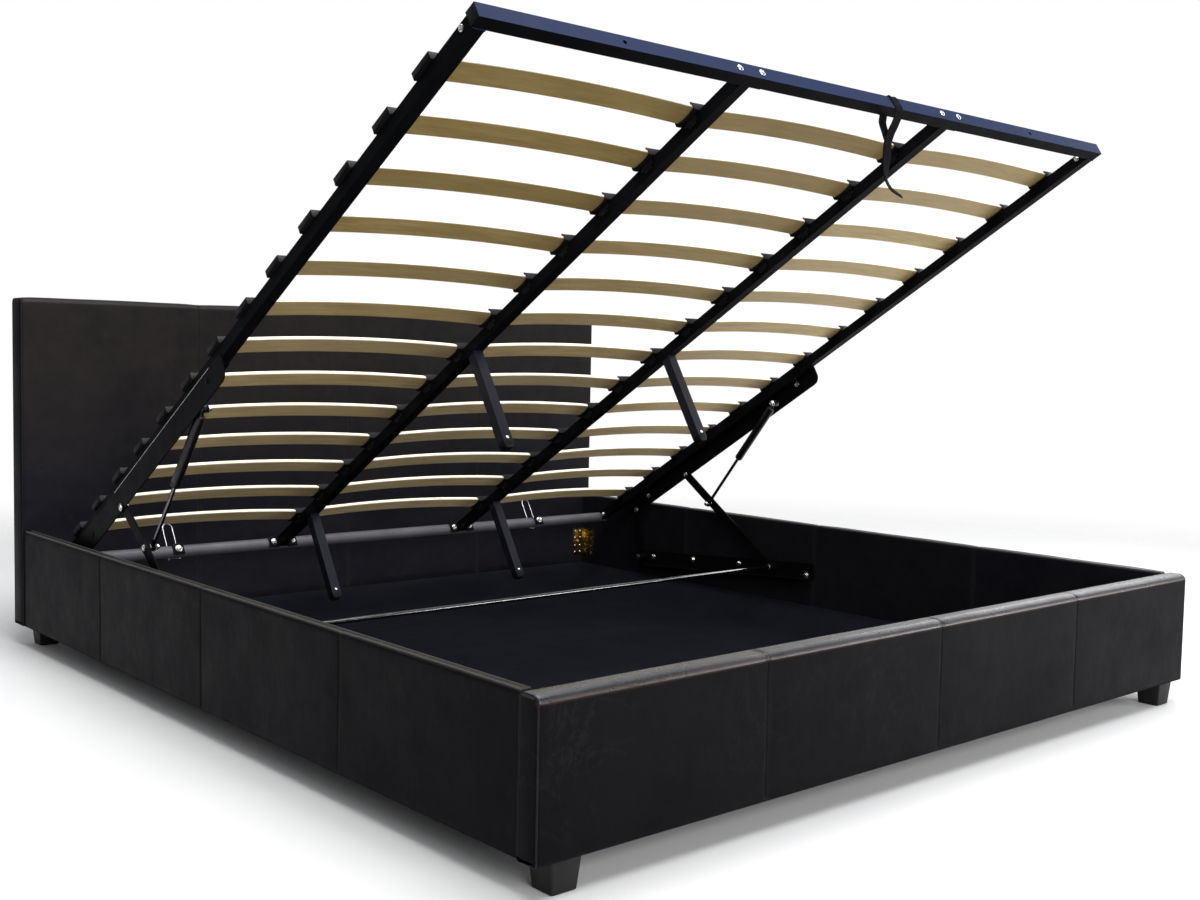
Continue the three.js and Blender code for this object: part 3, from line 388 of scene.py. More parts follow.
class Builder:
    """Collects several closed shapes into one mesh."""

    def __init__(self):
        self.verts = []
        self.faces = []

    def add(self, verts, faces):
        base = len(self.verts)
        self.verts.extend(verts)
        self.faces.extend([tuple(i + base for i in f) for f in faces])

    def loft(self, rings, loop=False):
        """Skin through rings with as many points each, closed by two caps or into a loop."""
        count, total = len(rings[0]), len(rings[0]) * len(rings)
        faces = []
        for a in range(0, total if loop else total - count, count):
            b = (a + count) % total
            faces += [(a + j, a + k, b + k, b + j) for j, k in ((j, (j + 1) % count) for j in range(count))]
        if not loop:
            faces += [tuple(reversed(range(count))), tuple(range(total - count, total))]
        self.add([p for ring in rings for p in ring], faces)

    def turned(self, profile, origin, axis, sides=24):
        """Lathe: profile is (distance along axis, radius) in mm from origin."""
        axis = Vector(axis).normalized()
        side = axis.orthogonal().normalized()
        other = axis.cross(side)
        ways = [side * math.cos(a) + other * math.sin(a) for a in turns(sides)]
        self.loft([[Vector(origin) + axis * along * MM + way * radius * MM for way in ways]
                   for along, radius in profile])

    def hexagon(self, origin, axis, across, height, washer=None):
        """Hexagon bolt head, with a washer of a radius under it where given."""
        thick = 1.6
        start = thick if washer else 0.0
        if washer:
            self.turned([(0, washer), (thick - 0.2, washer), (thick, washer - 0.2), (thick, washer * 0.4)],
                        origin, axis)
        r = across / math.sqrt(3)
        top = start + height
        self.turned([(start, r), (top - 0.8, r), (top, r * 0.86), (top, r * 0.3)], origin, axis, 6)
        self.turned([(start + height * 0.5, r * 0.80), (top + 0.02, r * 0.80), (top + 0.25, r * 0.72),
                     (top + 0.1, r * 0.1)], origin, axis)

    def pan_head(self, origin, axis, radius, height):
        """Round screw head with a sunk middle."""
        shares = ((0, 1), (0.45, 0.97), (0.85, 0.72), (1, 0.42), (0.98, 0.36), (0.5, 0.3))
        self.turned([(height * h, radius * r) for h, r in shares], origin, axis, 20)

    def box(self, corner_a, corner_b, place, bevel):
        """Box between two corners in mm, with an even bevel, put in the frame by place."""
        bm = bmesh.new()
        bmesh.ops.create_cube(bm, size=1.0)
        for v in bm.verts:
            v.co = [(a + b) / 2 + share * abs(b - a) for a, b, share in zip(corner_a, corner_b, v.co)]
        bmesh.ops.bevel(bm, geom=bm.edges[:], offset=bevel, segments=2, profile=0.5, affect="EDGES")
        bm.verts.index_update()
        self.add([place(*v.co) for v in bm.verts], [tuple(v.index for v in f.verts) for f in bm.faces])
        bm.free()

    def object(self, name, material, body, replaced=(), slot=None, sharp=35):
        """One piece with its faces turned outwards, and edges over an angle in degrees kept sharp."""
        obj = new_object(name, self.verts, self.faces, material, body, replaced)
        bm = bmesh.new()
        bm.from_mesh(obj.data)
        bmesh.ops.recalc_face_normals(bm, faces=bm.faces[:])
        bm.normal_update()
        for edge in bm.edges:
            edge.smooth = len(edge.link_faces) == 2 and edge.calc_face_angle(0.0) < math.radians(sharp)
        bm.to_mesh(obj.data)
        bm.free()
        return obj


def square_rings(levels, place):
    """Rings of a rounded square for each (height, half width, corner radius)."""
    corners = ((1, 1, 0), (-1, 1, 1), (-1, -1, 2), (1, -1, 3))
    return [[place(qx * (half - r) + r * math.cos(a), qy * (half - r) + r * math.sin(a), z)
             for qx, qy, q in corners for a in ((q + i / 4) * math.pi / 2 for i in range(5))]
            for z, half, r in levels]


def tube_along(b, path, radius, sides=8, closed=False):
    """Round bead through points in metres; radius in mm."""
    count = len(path)
    rings = []
    up = None
    for i, p in enumerate(path):
        before = path[i - 1] if i or closed else path[0]
        after = path[(i + 1) % count] if i < count - 1 or closed else path[-1]
        t = after - before
        if t.length < 1e-9:
            continue
        t.normalize()
        if up is None:
            up = t.orthogonal().normalized()
        up = (up - t * up.dot(t)).normalized()
        side = t.cross(up)
        rings.append([p + (up * math.cos(a) + side * math.sin(a)) * radius * MM for a in turns(sides)])
    b.loft(rings, closed)


def stitch_line(b, path, pitch=5.2, length=3.6, radius=0.45):
    """Raised stitches laid end to end along a path of points in metres."""
    lengths = [0.0]
    for p, q in zip(path, path[1:]):
        lengths.append(lengths[-1] + (q - p).length)

    def at(d):
        d = min(max(d, 0.0), lengths[-1])
        for i, (p, q) in enumerate(zip(path, path[1:])):
            if lengths[i + 1] >= d:
                return p.lerp(q, (d - lengths[i]) / max(lengths[i + 1] - lengths[i], 1e-9))
        return path[-1]

    for k in range(int(lengths[-1] / (pitch * MM))):
        middle = (k + 0.5) * pitch * MM
        a, c = at(middle - length * MM / 2), at(middle + length * MM / 2)
        if (c - a).length >= 1e-6:
            b.turned([(0, radius * 0.45), (length * 0.18, radius), (length * 0.82, radius),
                      (length, radius * 0.45)], a, c - a, 5)


def wobble(p, scale, seed=0.0):
    return noise.noise(Vector((p[0] * scale + seed, p[1] * scale - seed, p[2] * scale + 2 * seed)))


# Upholstery
SEAM_HALF = 4.2
SEAM_STEPS = (0, 0.9, 1.8, 2.8, 4.0, 5.2, 6.6, 8.5, 11, 15, 20, 27, 36)


def rounded_profile(u0, u1, v0, v1, radii, steps, arc_steps=7):
    """Closed outline with its own radius at low left, low right, top right, top left. Steps gives the
    point spacing on the bottom, right, top and left sides. Returns points and outward normals."""
    corners = ((u0, v0, 1, 1), (u1, v0, -1, 1), (u1, v1, -1, -1), (u0, v1, 1, -1))
    arcs = []
    for k, ((u, v, su, sv), r) in enumerate(zip(corners, radii)):
        angles = [((k + 2) % 4 + i / arc_steps) * math.pi / 2 for i in range(arc_steps + 1)]
        ways = [(math.cos(a), math.sin(a)) for a in angles]
        arcs.append(([(u + su * r + r * nu, v + sv * r + r * nv) for nu, nv in ways], ways))
    points, normals = [], []
    for arc, following, step in zip(arcs, arcs[1:] + arcs[:1], steps):
        points += arc[0]
        normals += arc[1]
        start, end = points[-1], following[0][0]
        count = max(1, round(math.dist(start, end) / step))
        for i in range(1, count):
            points.append(tuple(a + (b - a) * i / count for a, b in zip(start, end)))
            normals.append(normals[-1])
    return points, normals


def stations(start, end, seams, coarse, radius):
    """Places along a board for its outline: close together at the rounded ends and at the seams."""
    rounding = [radius * (1 - math.cos(i * math.pi / 14)) for i in range(8)]
    marks = [start + d for d in rounding] + [end - d for d in rounding]
    marks += [s + sign * d for s in seams for d in SEAM_STEPS for sign in (-1, 1)]
    span = end - start - 2 * radius
    count = round(span / coarse)
    marks += [start + radius + span * i / count for i in range(1, count)]
    kept = []
    for m in sorted(marks):
        if not kept or m - kept[-1] > 0.35:
            kept.append(m)
    return kept


def leather_relief(u, a, b, gap, near_end, swell, seed):
    """Height of the leather over its board: crown, unevenness, sunk seams and the puckers beside them."""
    p = (u * MM, a * MM, b * MM)
    fade = min(1.0, near_end / 30)
    soft = wobble(p, 5.5, seed) * 1.1 + wobble(p, 14, seed + 5) * 0.45
    seam = 2.1 * math.exp(-(gap / 1.5) ** 2) + 0.5 * math.exp(-(gap - SEAM_HALF) ** 2)
    pucker = math.exp(-gap / 16) * (1 - math.exp(-gap / 3)) * wobble((p[0] * 0.4, p[1], p[2]), 42, seed + 9)
    pull = math.exp(-near_end / 26) * fade * wobble((p[0] * 0.6, p[1], p[2]), 36, seed + 3)
    return (swell + soft) * fade - seam + 0.95 * pucker + 0.9 * pull


def upholstered(name, node, profile, place, start, end, seams, coarse, radius, crown, seed, shown, gloss=1.0,
                lots=(LEATHER, ROLL_LEATHER), roll_from=0.12, tan_reflection_share=1.0):
    """A board wrapped in padded leather: the outline runs from start to end, with sewn seams across it.
    Place puts (along, a, b) in the frame, and shown tells the points of the outline on the show side."""
    points, normals = profile
    marks = stations(start, end, seams, coarse, radius)
    edges = [start, *seams, end]
    rings, worn, warm, pale = [], [], [], []
    for u in marks:
        near_end = min(u - start, end - u)
        inset = radius - math.sqrt(radius ** 2 - max(radius - near_end, 0) ** 2)
        gap = min(abs(u - s) for s in seams)
        low, high = max((p, q) for p, q in zip(edges, edges[1:]) if p <= u + 1e-6)
        swell = crown * (1 - abs(2 * (u - low) / (high - low) - 1) ** 6)
        off_end = float(near_end > 0.5)
        ring = []
        for (a, b), (na, nb) in zip(points, normals):
            show = shown(a, b)
            d = leather_relief(u, a, b, gap, near_end, swell, seed) - inset if show else -inset
            ring.append(place(u, a + na * d, b + nb * d))
            worn.append(off_end * 0.35 * math.exp(-(gap / 7) ** 2))
            # Painted reflection and highlight: a tan band where the outline's normal leans about a third
            # upwards and a bright band where it points up, both scaled by gloss, the first also by the
            # reflection share.
            warm.append(off_end * gloss * tan_reflection_share * show * math.exp(-((nb - 0.34) / 0.16) ** 2))
            pale.append(off_end * gloss * math.exp(-((nb - 0.97) / 0.07) ** 2))
        rings.append(ring)
    b = Builder()
    b.loft(rings)
    obj = b.object(name, lots[0], "bed_base", (node,), slot="faux_leather", sharp=60)
    for lot in (lots[1], INNER_COVER, LEATHER):
        obj.data.materials.append(lot)
    count = len(points)
    end_rings = {0, 1, 2, 3, *range(len(marks) - 4, len(marks))}
    for f in obj.data.polygons:
        if len(f.vertices) > 4 or {v // count for v in f.vertices} & end_rings:
            f.material_index = 3
        elif all(normals[v % count][1] > roll_from for v in f.vertices):
            f.material_index = 1
        elif not any(shown(*points[v % count]) for v in f.vertices):
            f.material_index = 2
    attribute(obj, "worn", worn)
    attribute(obj, "warm", warm)
    attribute(obj, "pale", pale)
    return obj


def board_stitches(b, profile, place, seams, shown, crown):
    """Two rows of stitches beside each seam, along the longest shown stretch of the outline."""
    lift = crown * 0.25 - 0.35
    runs = [[]]
    for (a, c), (na, nb) in list(zip(*profile)) * 2:
        if shown(a, c):
            runs[-1].append((a + na * lift, c + nb * lift))
        elif runs[-1]:
            runs.append([])
    longest = max(runs, key=len)
    for s in seams:
        for sign in (-1, 1):
            stitch_line(b, [place(s + sign * SEAM_HALF, a, c) for a, c in longest])


def edge_bead(b, obj, profile, near, radius):
    """A sewn bead laid along the surface of a cover at one point of its outline."""
    points = profile[0]
    first = min(range(len(points)), key=lambda k: math.dist(points[k], near))
    verts = obj.data.vertices
    path = [verts[k].co.copy() for k in range(first, len(verts), len(points))]
    tube_along(b, path[5:-5], radius)


def rail_place(side):
    """Puts (along, out, up) of a side rail in the frame."""
    def place(u, a, c):
        return bed_point(a * side, u, c)
    return place


def end_boards():
    """Covers of the footboard and the headboard."""
    upholstered("footboard_cover", "footboard", FOOT_PROFILE, bed_point, -WIDTH_HALF, WIDTH_HALF, BOARD_SEAMS,
                9, 7, FOOT_CROWN, 3.1, lambda a, c: a < FOOT_BACK - 11 and c > BOARD_LOW + 9)
    upholstered("headboard_cover", "headboard", HEAD_PROFILE, bed_point, -WIDTH_HALF, WIDTH_HALF, BOARD_SEAMS,
                10, 9, HEAD_CROWN, 8.7, lambda a, c: a < LENGTH - 11 and c > BOARD_LOW + 19, gloss=0.12,
                lots=(HEAD_LEATHER, HEAD_ROLL_LEATHER))


def side_rails():
    """Covers of the side rails, with the double bead along their top edge."""
    beads = Builder()
    for label, side in SIDES:
        cover = upholstered(f"side_rail_{label}_cover", f"side_rail_{label}", RAIL_PROFILE, rail_place(side),
                            FOOT_BACK + 0.3, HEAD_FRONT - 0.3, RAIL_SEAMS, 11, 3, RAIL_CROWN, 5.3 + side,
                            lambda a, c: a > RAIL_INSIDE + 8 and c > BOARD_LOW + 9, gloss=0.12,
                            lots=(LEATHER, RAIL_LEATHER), roll_from=0.5, tan_reflection_share=0.0)
        edge_bead(beads, cover, RAIL_PROFILE, (RAIL_OUTSIDE - 4, RAIL_TOP - 1.1), 1.8)
        edge_bead(beads, cover, RAIL_PROFILE, (RAIL_INSIDE + 4.5, RAIL_TOP - 0.2), 1.5)
    obj = beads.object("rail_edge_beads", RAIL_LEATHER, "bed_base", slot="faux_leather", sharp=60)
    # Painted highlight: the beads take the full top highlight, so they show as bright lines along the rail
    # tops.
    attribute(obj, "pale", [1.0] * len(beads.verts))


def seam_stitches():
    """Stitches beside every seam, and the short tuck sewn across each headboard seam."""
    b = Builder()
    board_stitches(b, FOOT_PROFILE, bed_point, BOARD_SEAMS,
                   lambda a, c: a < FOOT_BACK - 1 and c > BOARD_LOW + 2, FOOT_CROWN)
    board_stitches(b, HEAD_PROFILE, bed_point, BOARD_SEAMS,
                   lambda a, c: a < LENGTH - 3 and c > BOARD_LOW + 9, HEAD_CROWN)
    for label, side in SIDES:
        board_stitches(b, RAIL_PROFILE, rail_place(side), RAIL_SEAMS,
                       lambda a, c: a > RAIL_INSIDE + 2 and c > BOARD_LOW + 2, RAIL_CROWN)
    for s in BOARD_SEAMS:
        for z in (766, 773):
            stitch_line(b, [bed_point(s + dx, HEAD_FRONT - 1.1, z) for dx in (-13, 13)], 4.6, 3.4, 0.5)
    b.object("seam_stitches", THREAD, "bed_base", slot="faux_leather", sharp=60)


def edge_piping():
    """Sewn beads round the end panels of the footboard and the headboard."""
    b = Builder()
    for side in (-1, 1):
        for profile, inset in ((FOOT_PROFILE, 5.0), (HEAD_PROFILE, 6.5)):
            x, deep = side * (WIDTH_HALF - inset * 0.42), inset * 0.30
            path = [bed_point(x, a - na * deep, c - nb * deep) for (a, c), (na, nb) in zip(*profile)]
            tube_along(b, path, 1.5, closed=True)
    # Painted light: the piping takes the lighter headboard leather copy, on the footboard too.
    b.object("edge_piping", HEAD_ROLL_LEATHER, "bed_base", slot="faux_leather", sharp=60)


FOOT_CROWN, HEAD_CROWN, RAIL_CROWN = 1.6, 2.2, 1.5
FOOT_PROFILE = rounded_profile(0, FOOT_BACK, BOARD_LOW, RAIL_TOP, (5, 0.6, 10, 15), (8, 24, 5, 6))
HEAD_PROFILE = rounded_profile(HEAD_FRONT, LENGTH, BOARD_LOW, HEAD_TOP, (4, 4, 14, 14), (16, 26, 7, 7))
RAIL_PROFILE = rounded_profile(RAIL_INSIDE, RAIL_OUTSIDE, BOARD_LOW, RAIL_TOP, (0.6, 4, 8, 6), (8, 6, 5, 20))


# Feet: (height, half width, corner radius)
FOOT_LEVELS = ((0, 21.6, 3), (0.9, 23, 3), (2.2, 23.6, 3), (24, 25.7, 3), (47.5, 27.9, 3), (50.6, 28, 3))
FOOT_X = 882
FOOT_Y = (("front", 34), ("rear", 2103))


def bed_feet():
    for label, side in SIDES:
        for end, y in FOOT_Y:
            b = Builder()
            b.loft(square_rings(FOOT_LEVELS, lambda dx, dy, z: bed_point(side * FOOT_X + dx, y + dy, z)))
            b.object(f"foot_{end}_{label}_moulding", FOOT_PLASTIC, "bed_base", (f"foot_{end}_{label}",),
                     slot="foot_plastic", sharp=40)


# Storage lining
LINING_HALF = 915.0
LINING_Y = (46.0, 2093.0)
LINING_CELLS = (150, 170)


def lining_spread(i, count, low, high):
    """Grid places that stand closer together towards both ends."""
    t = i / count
    return low + (high - low) * (t - math.sin(4 * math.pi * t) / (4 * math.pi) * 0.35)


def lining_height(x, y):
    """The sheet falls from the boards to the floor, with wrinkles and pulls that fade out."""
    e = min(LINING_HALF - abs(x), y - LINING_Y[0], LINING_Y[1] - y)
    if e < 4:
        return 55 + 7 * (1 - e / 4)
    p = (x * MM, y * MM, 0)
    fold = wobble(p, 4.0, 2.0)
    t = min((e - 4) / (172 + 22 * fold), 1.0)
    slope = 1 - (t * t * (3 - 2 * t))
    wrinkle = wobble(p, 9, 4) * 2.0 + wobble(p, 26, 7) * 0.8
    tension = math.sin(math.atan2(y - 1070, x) * 46 + 3 * fold) * 2.6 * slope * t * 3
    fall = 4.2 + 51 * slope * (0.94 + 0.06 * math.cos(t * 3))
    return max(fall + wrinkle * min(1, e / 40) * (0.35 + slope) + tension * min(1, e / 60), 2.2)


def lining_sheet():
    nx, ny = LINING_CELLS
    verts = []
    for j in range(ny + 1):
        y = lining_spread(j, ny, *LINING_Y)
        for i in range(nx + 1):
            x = lining_spread(i, nx, -LINING_HALF, LINING_HALF)
            verts.append(bed_point(x, y, lining_height(x, y)))
    corners = [j * (nx + 1) + i for j in range(ny) for i in range(nx)]
    faces = [(a, a + 1, a + nx + 2, a + nx + 1) for a in corners]
    obj = new_object("lining_fabric_tray", verts, faces, LINING, "bed_base", ("storage_lining",))
    solid = obj.modifiers.new("thickness", "SOLIDIFY")
    solid.thickness = 0.0012
    solid.offset = 0


# Corner brackets
def corner_bracket(end, label, side, board_y, direction):
    """Pressed angle of 2.5 mm steel in a corner of the box, with its screws and one bolt."""
    def corner(dx, dy, z):
        return bed_point(side * (RAIL_INSIDE - 0.3 - dx), board_y + direction * (0.3 + dy), z)

    b, heads = Builder(), Builder()
    low, high, steel = 90, 181, 2.5
    b.box((0, 0, low), (steel, 60, high), corner, 0.6)
    b.box((0, 0, low), (42, steel, high), corner, 0.6)
    for z in (100, 122, 148, 171):
        for dy in (24, 48):
            b.pan_head(corner(steel, dy, z), (-side, 0, 0), 4.4, 2.2)
        for dx in (11, 33):
            heads.pan_head(corner(dx, steel, z), (0, direction, 0), 3.6, 2.2)
    b.hexagon(corner(22, steel, 135), (0, direction, 0), 10, 5, washer=8)
    name = f"bracket_{end}_{label}_plate"
    b.object(name, BRASS, "bed_base", (f"corner_bracket_{end}_{label}",), slot="bracket_brass")
    heads.object(f"{name}_screws", ZINC, "bed_base", slot="zinc")


def corner_brackets():
    for label, side in SIDES:
        corner_bracket("head", label, side, HEAD_FRONT, -1)
        corner_bracket("foot", label, side, FOOT_BACK, 1)


# Slats and holders. The section of a slat is (along the lid, height, 1 on a cut edge)
SLAT_THICK = 8
SLAT_BOW = 11.5
SLAT_STEPS = 30
MIDDLE_ROW = 7
SLAT_SECTION = ((-25, 1.6, 1), (-25, 6.4, 1), (-23.6, 8, 0), (23.6, 8, 0),
                (25, 6.4, 1), (25, 1.6, 1), (23.6, 0, 0), (-23.6, 0, 0))


def slats(row, s0):
    """Three bowed slats in a row, each with a tone of its own, and painted lighter to the right and to the
    head.
    """
    rng = random.Random(row * 7 + 3)
    b = Builder()
    values = {"edge": [], "ply": [], "board": [], "fresh": []}
    for x0, x1 in SLAT_SPANS:
        rings = []
        for i in range(SLAT_STEPS + 1):
            t = i / SLAT_STEPS
            rise = SLAT_RISE + SLAT_BOW * 4 * t * (1 - t)
            rings.append([lid(x0 + (x1 - x0) * t, s0 + ds, rise + dh) for ds, dh, cut in SLAT_SECTION])
        b.loft(rings)
        count = len(rings) * len(SLAT_SECTION)
        # Painted light and shade: a share that rises to the right and towards the head of the lid.
        place = 0.5 + 0.22 * (x0 + x1) / SLAT_WIDTH + (row - MIDDLE_ROW) / (len(SLAT_S) - 1)
        values["edge"] += [float(cut) for ds, dh, cut in SLAT_SECTION] * len(rings)
        values["ply"] += [dh / SLAT_THICK for ds, dh, cut in SLAT_SECTION] * len(rings)
        values["board"] += [rng.random()] * count
        values["fresh"] += [min(max(place, 0.0), 1.0)] * count
    obj = b.object(f"slats_{row:02d}", WOOD, "lid", (f"slat_row_{row:02d}",), slot="slat_wood", sharp=30)
    for name, numbers in values.items():
        attribute(obj, name, numbers)


def holder_shell(b, put, low_x, high_x, low_open, high_open):
    """Cap on a tube: floor, two walls and a cover, with a scooped floor and raised lips at an open end."""
    low, high, half, wall = 25.4, 41.0, 27.0, 1.9
    for y in (-half, half - wall):
        b.box((low_x, y, low), (high_x, y + wall, high - 0.6), put, 0.5)
    b.box((low_x + 1, -half + 0.4, high - 2.4), (high_x - 1, half - 0.4, high), put, 0.7)
    floor = []
    for x, out, is_open in ((low_x, -1, low_open), (high_x, 1, high_open)):
        if is_open:
            for y in (-half, half - wall):
                b.box((x - out, y, 36.5), (x + out * 3.4, y + wall, high), put, 0.6)
        else:
            b.box((x - out * wall, -half + 0.4, low + 0.3), (x, half - 0.4, high - 0.4), put, 0.6)
        scoop = 4.5 if is_open else 0.0
        across = [-out * (i / 6 - 1) for i in range(13)]
        floor += [(x - out * scoop * (1 - t * t), t * (half - 0.3)) for t in across]
    b.loft([[put(x, y, z) for x, y in floor] for z in (low, low + 0.5, low + 3.6)])


def holders(row, s0):
    """Four plastic caps that carry the slats of a row, with short skirts down the inner tubes."""
    def put(x, y, z):
        return lid(x, s0 + y, z)

    b = Builder()
    for side in (-1, 1):
        holder_shell(b, put, *sorted((side * 867, side * 899)), side > 0, side < 0)
        middle = side * INNER_X
        holder_shell(b, put, middle - 25, middle + 25, True, True)
        for x in (middle - 14.6, middle + 12.7):
            b.box((x, -17, 15), (x + 1.9, 17, 26), put, 0.7)
            b.box((x, -10, 9), (x + 1.9, 10, 16), put, 0.7)
    b.object(f"slat_holders_{row:02d}", HOLDER_PLASTIC, "lid", (f"slat_row_{row:02d}",), slot="glide_plastic")


def slat_rows():
    for row, s in enumerate(SLAT_S, 1):
        slats(row, s)
        holders(row, s)


# Steel frame: the CAD shapes with soft edges
def soften(node, material, width):
    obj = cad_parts[node]
    obj.data.materials.clear()
    obj.data.materials.append(material)
    bevel = obj.modifiers.new("soft_edges", "BEVEL")
    bevel.width = width * MM
    bevel.segments = 2
    bevel.limit_method = "ANGLE"
    bevel.angle_limit = math.radians(40)
    bevel.harden_normals = False


def steel_frame():
    soften("foot_tube", POWDER, 1.8)
    for label, side in SIDES:
        soften(f"side_tube_{label}", POWDER, 1.6)
        soften(f"inner_tube_{label}", POWDER, 1.4)
        for fitting in ("lid_plate", "base_plate", "front_arm", "rear_link"):
            soften(f"{fitting}_{label}", BLACK_STEEL, 0.6)
        for end, s in LEG_S:
            soften(f"support_leg_{end}_{label}", LEG_COAT_PAINTED_LIGHT, 1.6)


LUG_S = HEAD_TUBE_S - HEAD_TUBE_RADIUS - 4.4
LUG_THICK = 4


def head_tube():
    """Round tube with open ends, and the lugs and bolts where the inner and side tubes meet it."""
    b, lugs, bolts = Builder(), Builder(), Builder()
    r, length, wall_end = HEAD_TUBE_RADIUS, 1786, 14.2
    b.turned([(0, wall_end), (0, r - 0.4), (0.5, r), (length - 0.5, r), (length, r - 0.4), (length, wall_end),
              (length - 6, 14.1), (6, 14.1), (0.2, wall_end)],
             lid(-length / 2, HEAD_TUBE_S, TUBE_MIDDLE), (1, 0, 0), 48)
    b.object("head_tube_round", HEAD_TUBE_PAINTED_LIGHT, "lid", ("head_tube",), slot="frame_steel", sharp=40)
    for side in (-1, 1):
        for turn in (-1, 1):
            middle = side * INNER_X
            near, far = middle + turn * 12.6, middle + turn * 41
            lugs.box((near, LUG_S, -4.5), (far, LUG_S + LUG_THICK, 27.5), lid, 0.8)
            bolts.hexagon(lid(middle + turn * 28, LUG_S, 11.5), lid_dir(-1, 0), 11, 4.5, washer=8)
        bolts.hexagon(lid(side * SIDE_INSIDE, 1984, TUBE_MIDDLE), (-side, 0, 0), 9, 3.5, washer=6.5)
    lugs.object("head_tube_lugs", BLACK_STEEL, "lid", slot="frame_steel")
    bolts.object("head_tube_bolts", ZINC, "lid", slot="zinc")


# Bolts of the lid frame, as (distance along the lid, height)
PLATE_BOLTS = ((1067, -13), (1783, -20))
PLATE_PIVOTS = ((1592.17, -39.74), (1850.26, -39.18))
PLATE_STRUT_PIN = (1152.78, -28.17)
SMALL_DOME = [(0, 7), (0.6, 6.6), (1.6, 4.2), (1.9, 1.2)]
DOMED_PIN = [(0, 8.6), (1.2, 8.6), (1.8, 7.9), (2.8, 6.5), (3.6, 4.4), (4.0, 2.2), (4.1, 0.4)]
STEPPED_PIN = [(0, 8.6), (1.2, 8.6), (1.4, 8.2), (1.4, 6.0), (3.0, 5.6), (3.6, 4.4), (3.6, 0.5)]


def foot_tube_bolts():
    """Screws in the front of the foot tube, and the bolts through its ends into the side tubes."""
    b = Builder()
    for middle in (-INNER_X, INNER_X):
        for dx in (-28.5, 28.5):
            b.pan_head(lid(middle + dx, 0, 14), lid_dir(-1, 0), 6.6, 3.4)
    for side in (-1, 1):
        b.pan_head(lid(side * SIDE_OUTSIDE, 46, 17), (side, 0, 0), 6.2, 3.0)
        b.hexagon(lid(side * SIDE_INSIDE, 46, 17), (-side, 0, 0), 9, 4.0, washer=6.5)
    b.object("foot_tube_bolts", ZINC, "lid", slot="zinc")


def lid_plate_fittings():
    """Bolts, pins and domes of the lid plates, and a bright metal bead along each plate's upper edge as a
    painted highlight of the light that edge catches.
    """
    pins, domes, edges = Builder(), Builder(), Builder()
    for label, side in SIDES:
        inward, outward = (-side, 0, 0), (side, 0, 0)
        # Painted highlight: a thin bright bead along the upper edge of the black plate.
        tube_along(edges, [lid(side * 896.9, 1046 + 30 * i, 7.6) for i in range(20)], 0.9, 6)
        for s, h in PLATE_BOLTS:
            domes.turned(SMALL_DOME, lid(side * 897.3, s, h), outward, 20)
            pins.hexagon(lid(side * 894.3, s, h), inward, 10, 5.0, washer=8)
        for s, h in PLATE_PIVOTS:
            pins.turned(DOMED_PIN, lid(side * 886.8, s, h), inward)
            pins.turned(STEPPED_PIN, lid(side * 899.7, s, h), outward)
        pins.hexagon(lid(side * 865.6, *PLATE_STRUT_PIN), inward, 11, 5.5, washer=8.5)
        pins.turned([(0, 8.8), (1.6, 8.8), (1.8, 8.2)], lid(side * 881.0, *PLATE_STRUT_PIN), outward)
        pins.turned([(0, 5.8), (8.0, 5.8)], lid(side * 890.6, *PLATE_STRUT_PIN), inward)
    pins.object("lid_plate_bolts", ZINC, "lid", slot="zinc")
    domes.object("lid_plate_domes", BLACK_STEEL, "lid", slot="frame_steel")
    edges.object("lid_plate_bare_edges", BAR_STEEL, "lid", slot="zinc", sharp=60)


def weld(b, start, end, steps, swing, pace, radius):
    """Uneven bead of weld between two lid points."""
    path = []
    for i in range(steps + 1):
        x, s, h = (p + (q - p) * i / steps for p, q in zip(start, end))
        path.append(lid(x, s, h + swing * math.sin(i * pace)))
    tube_along(b, path, radius, 6)


# Support legs. Levels of a glide: (height, half width, corner radius)
GLIDE_LEVELS = ((-222.5, 12.5, 2.2), (-224.6, 13.1, 2.4), (-229, 13.2, 2.4), (-234, 12.4, 3),
                (-238.6, 10.8, 3.4), (-240.1, 9.6, 3.4))


def leg_details():
    """The glide, the screw and the welding bead of each support leg."""
    screws, welds = Builder(), Builder()
    half = TUBE / 2
    for label, side in SIDES:
        for end, s in LEG_S:
            middle = side * INNER_X
            b = Builder()
            b.loft(square_rings(GLIDE_LEVELS, lambda dx, ds, h: lid(middle + dx, s + ds, h)))
            b.object(f"glide_{end}_{label}_moulding", HOLDER_PLASTIC, "lid", (f"leg_glide_{end}_{label}",),
                     slot="glide_plastic", sharp=40)
            screws.pan_head(lid(middle, s - half, -217), lid_dir(-1, 0), 4.0, 2.4)
            square = ((-half, -half), (half, -half), (half, half), (-half, half))
            corners = [(middle + dx, s + ds, -0.9) for dx, ds in square]
            for start, stop in zip(corners, corners[1:] + corners[:1]):
                weld(welds, start, stop, 10, 0.25, 2.4, 1.5)
    screws.object("leg_screws", ZINC, "lid", slot="zinc")
    welds.object("leg_welds", POWDER, "lid", slot="frame_steel", sharp=60)


# Linkage. Turned profiles are (distance along the axis, radius)
ARM_WASHER = [(0, 8.5), (1.5, 8.5), (1.7, 8.0), (1.7, 4.0)]
STRUT_WASHER = [(0, 7.6), (1.5, 7.6), (1.7, 7.2), (1.7, 4.0)]
LINK_DOME = [(0, 7.6), (1.2, 7.6), (1.8, 6.6), (2.4, 4.2), (2.6, 1.0)]
CYLINDER = [(15, 4.6), (16.5, 7.5), (19, 9.8), (21.5, 10.8), (24, 11), (150, 11), (205, 11), (206, 10.7),
            (207.5, 10.7), (208.5, 11), (214, 11), (217.5, 10.2), (219, 8.6), (219, 5.2), (216, 5)]


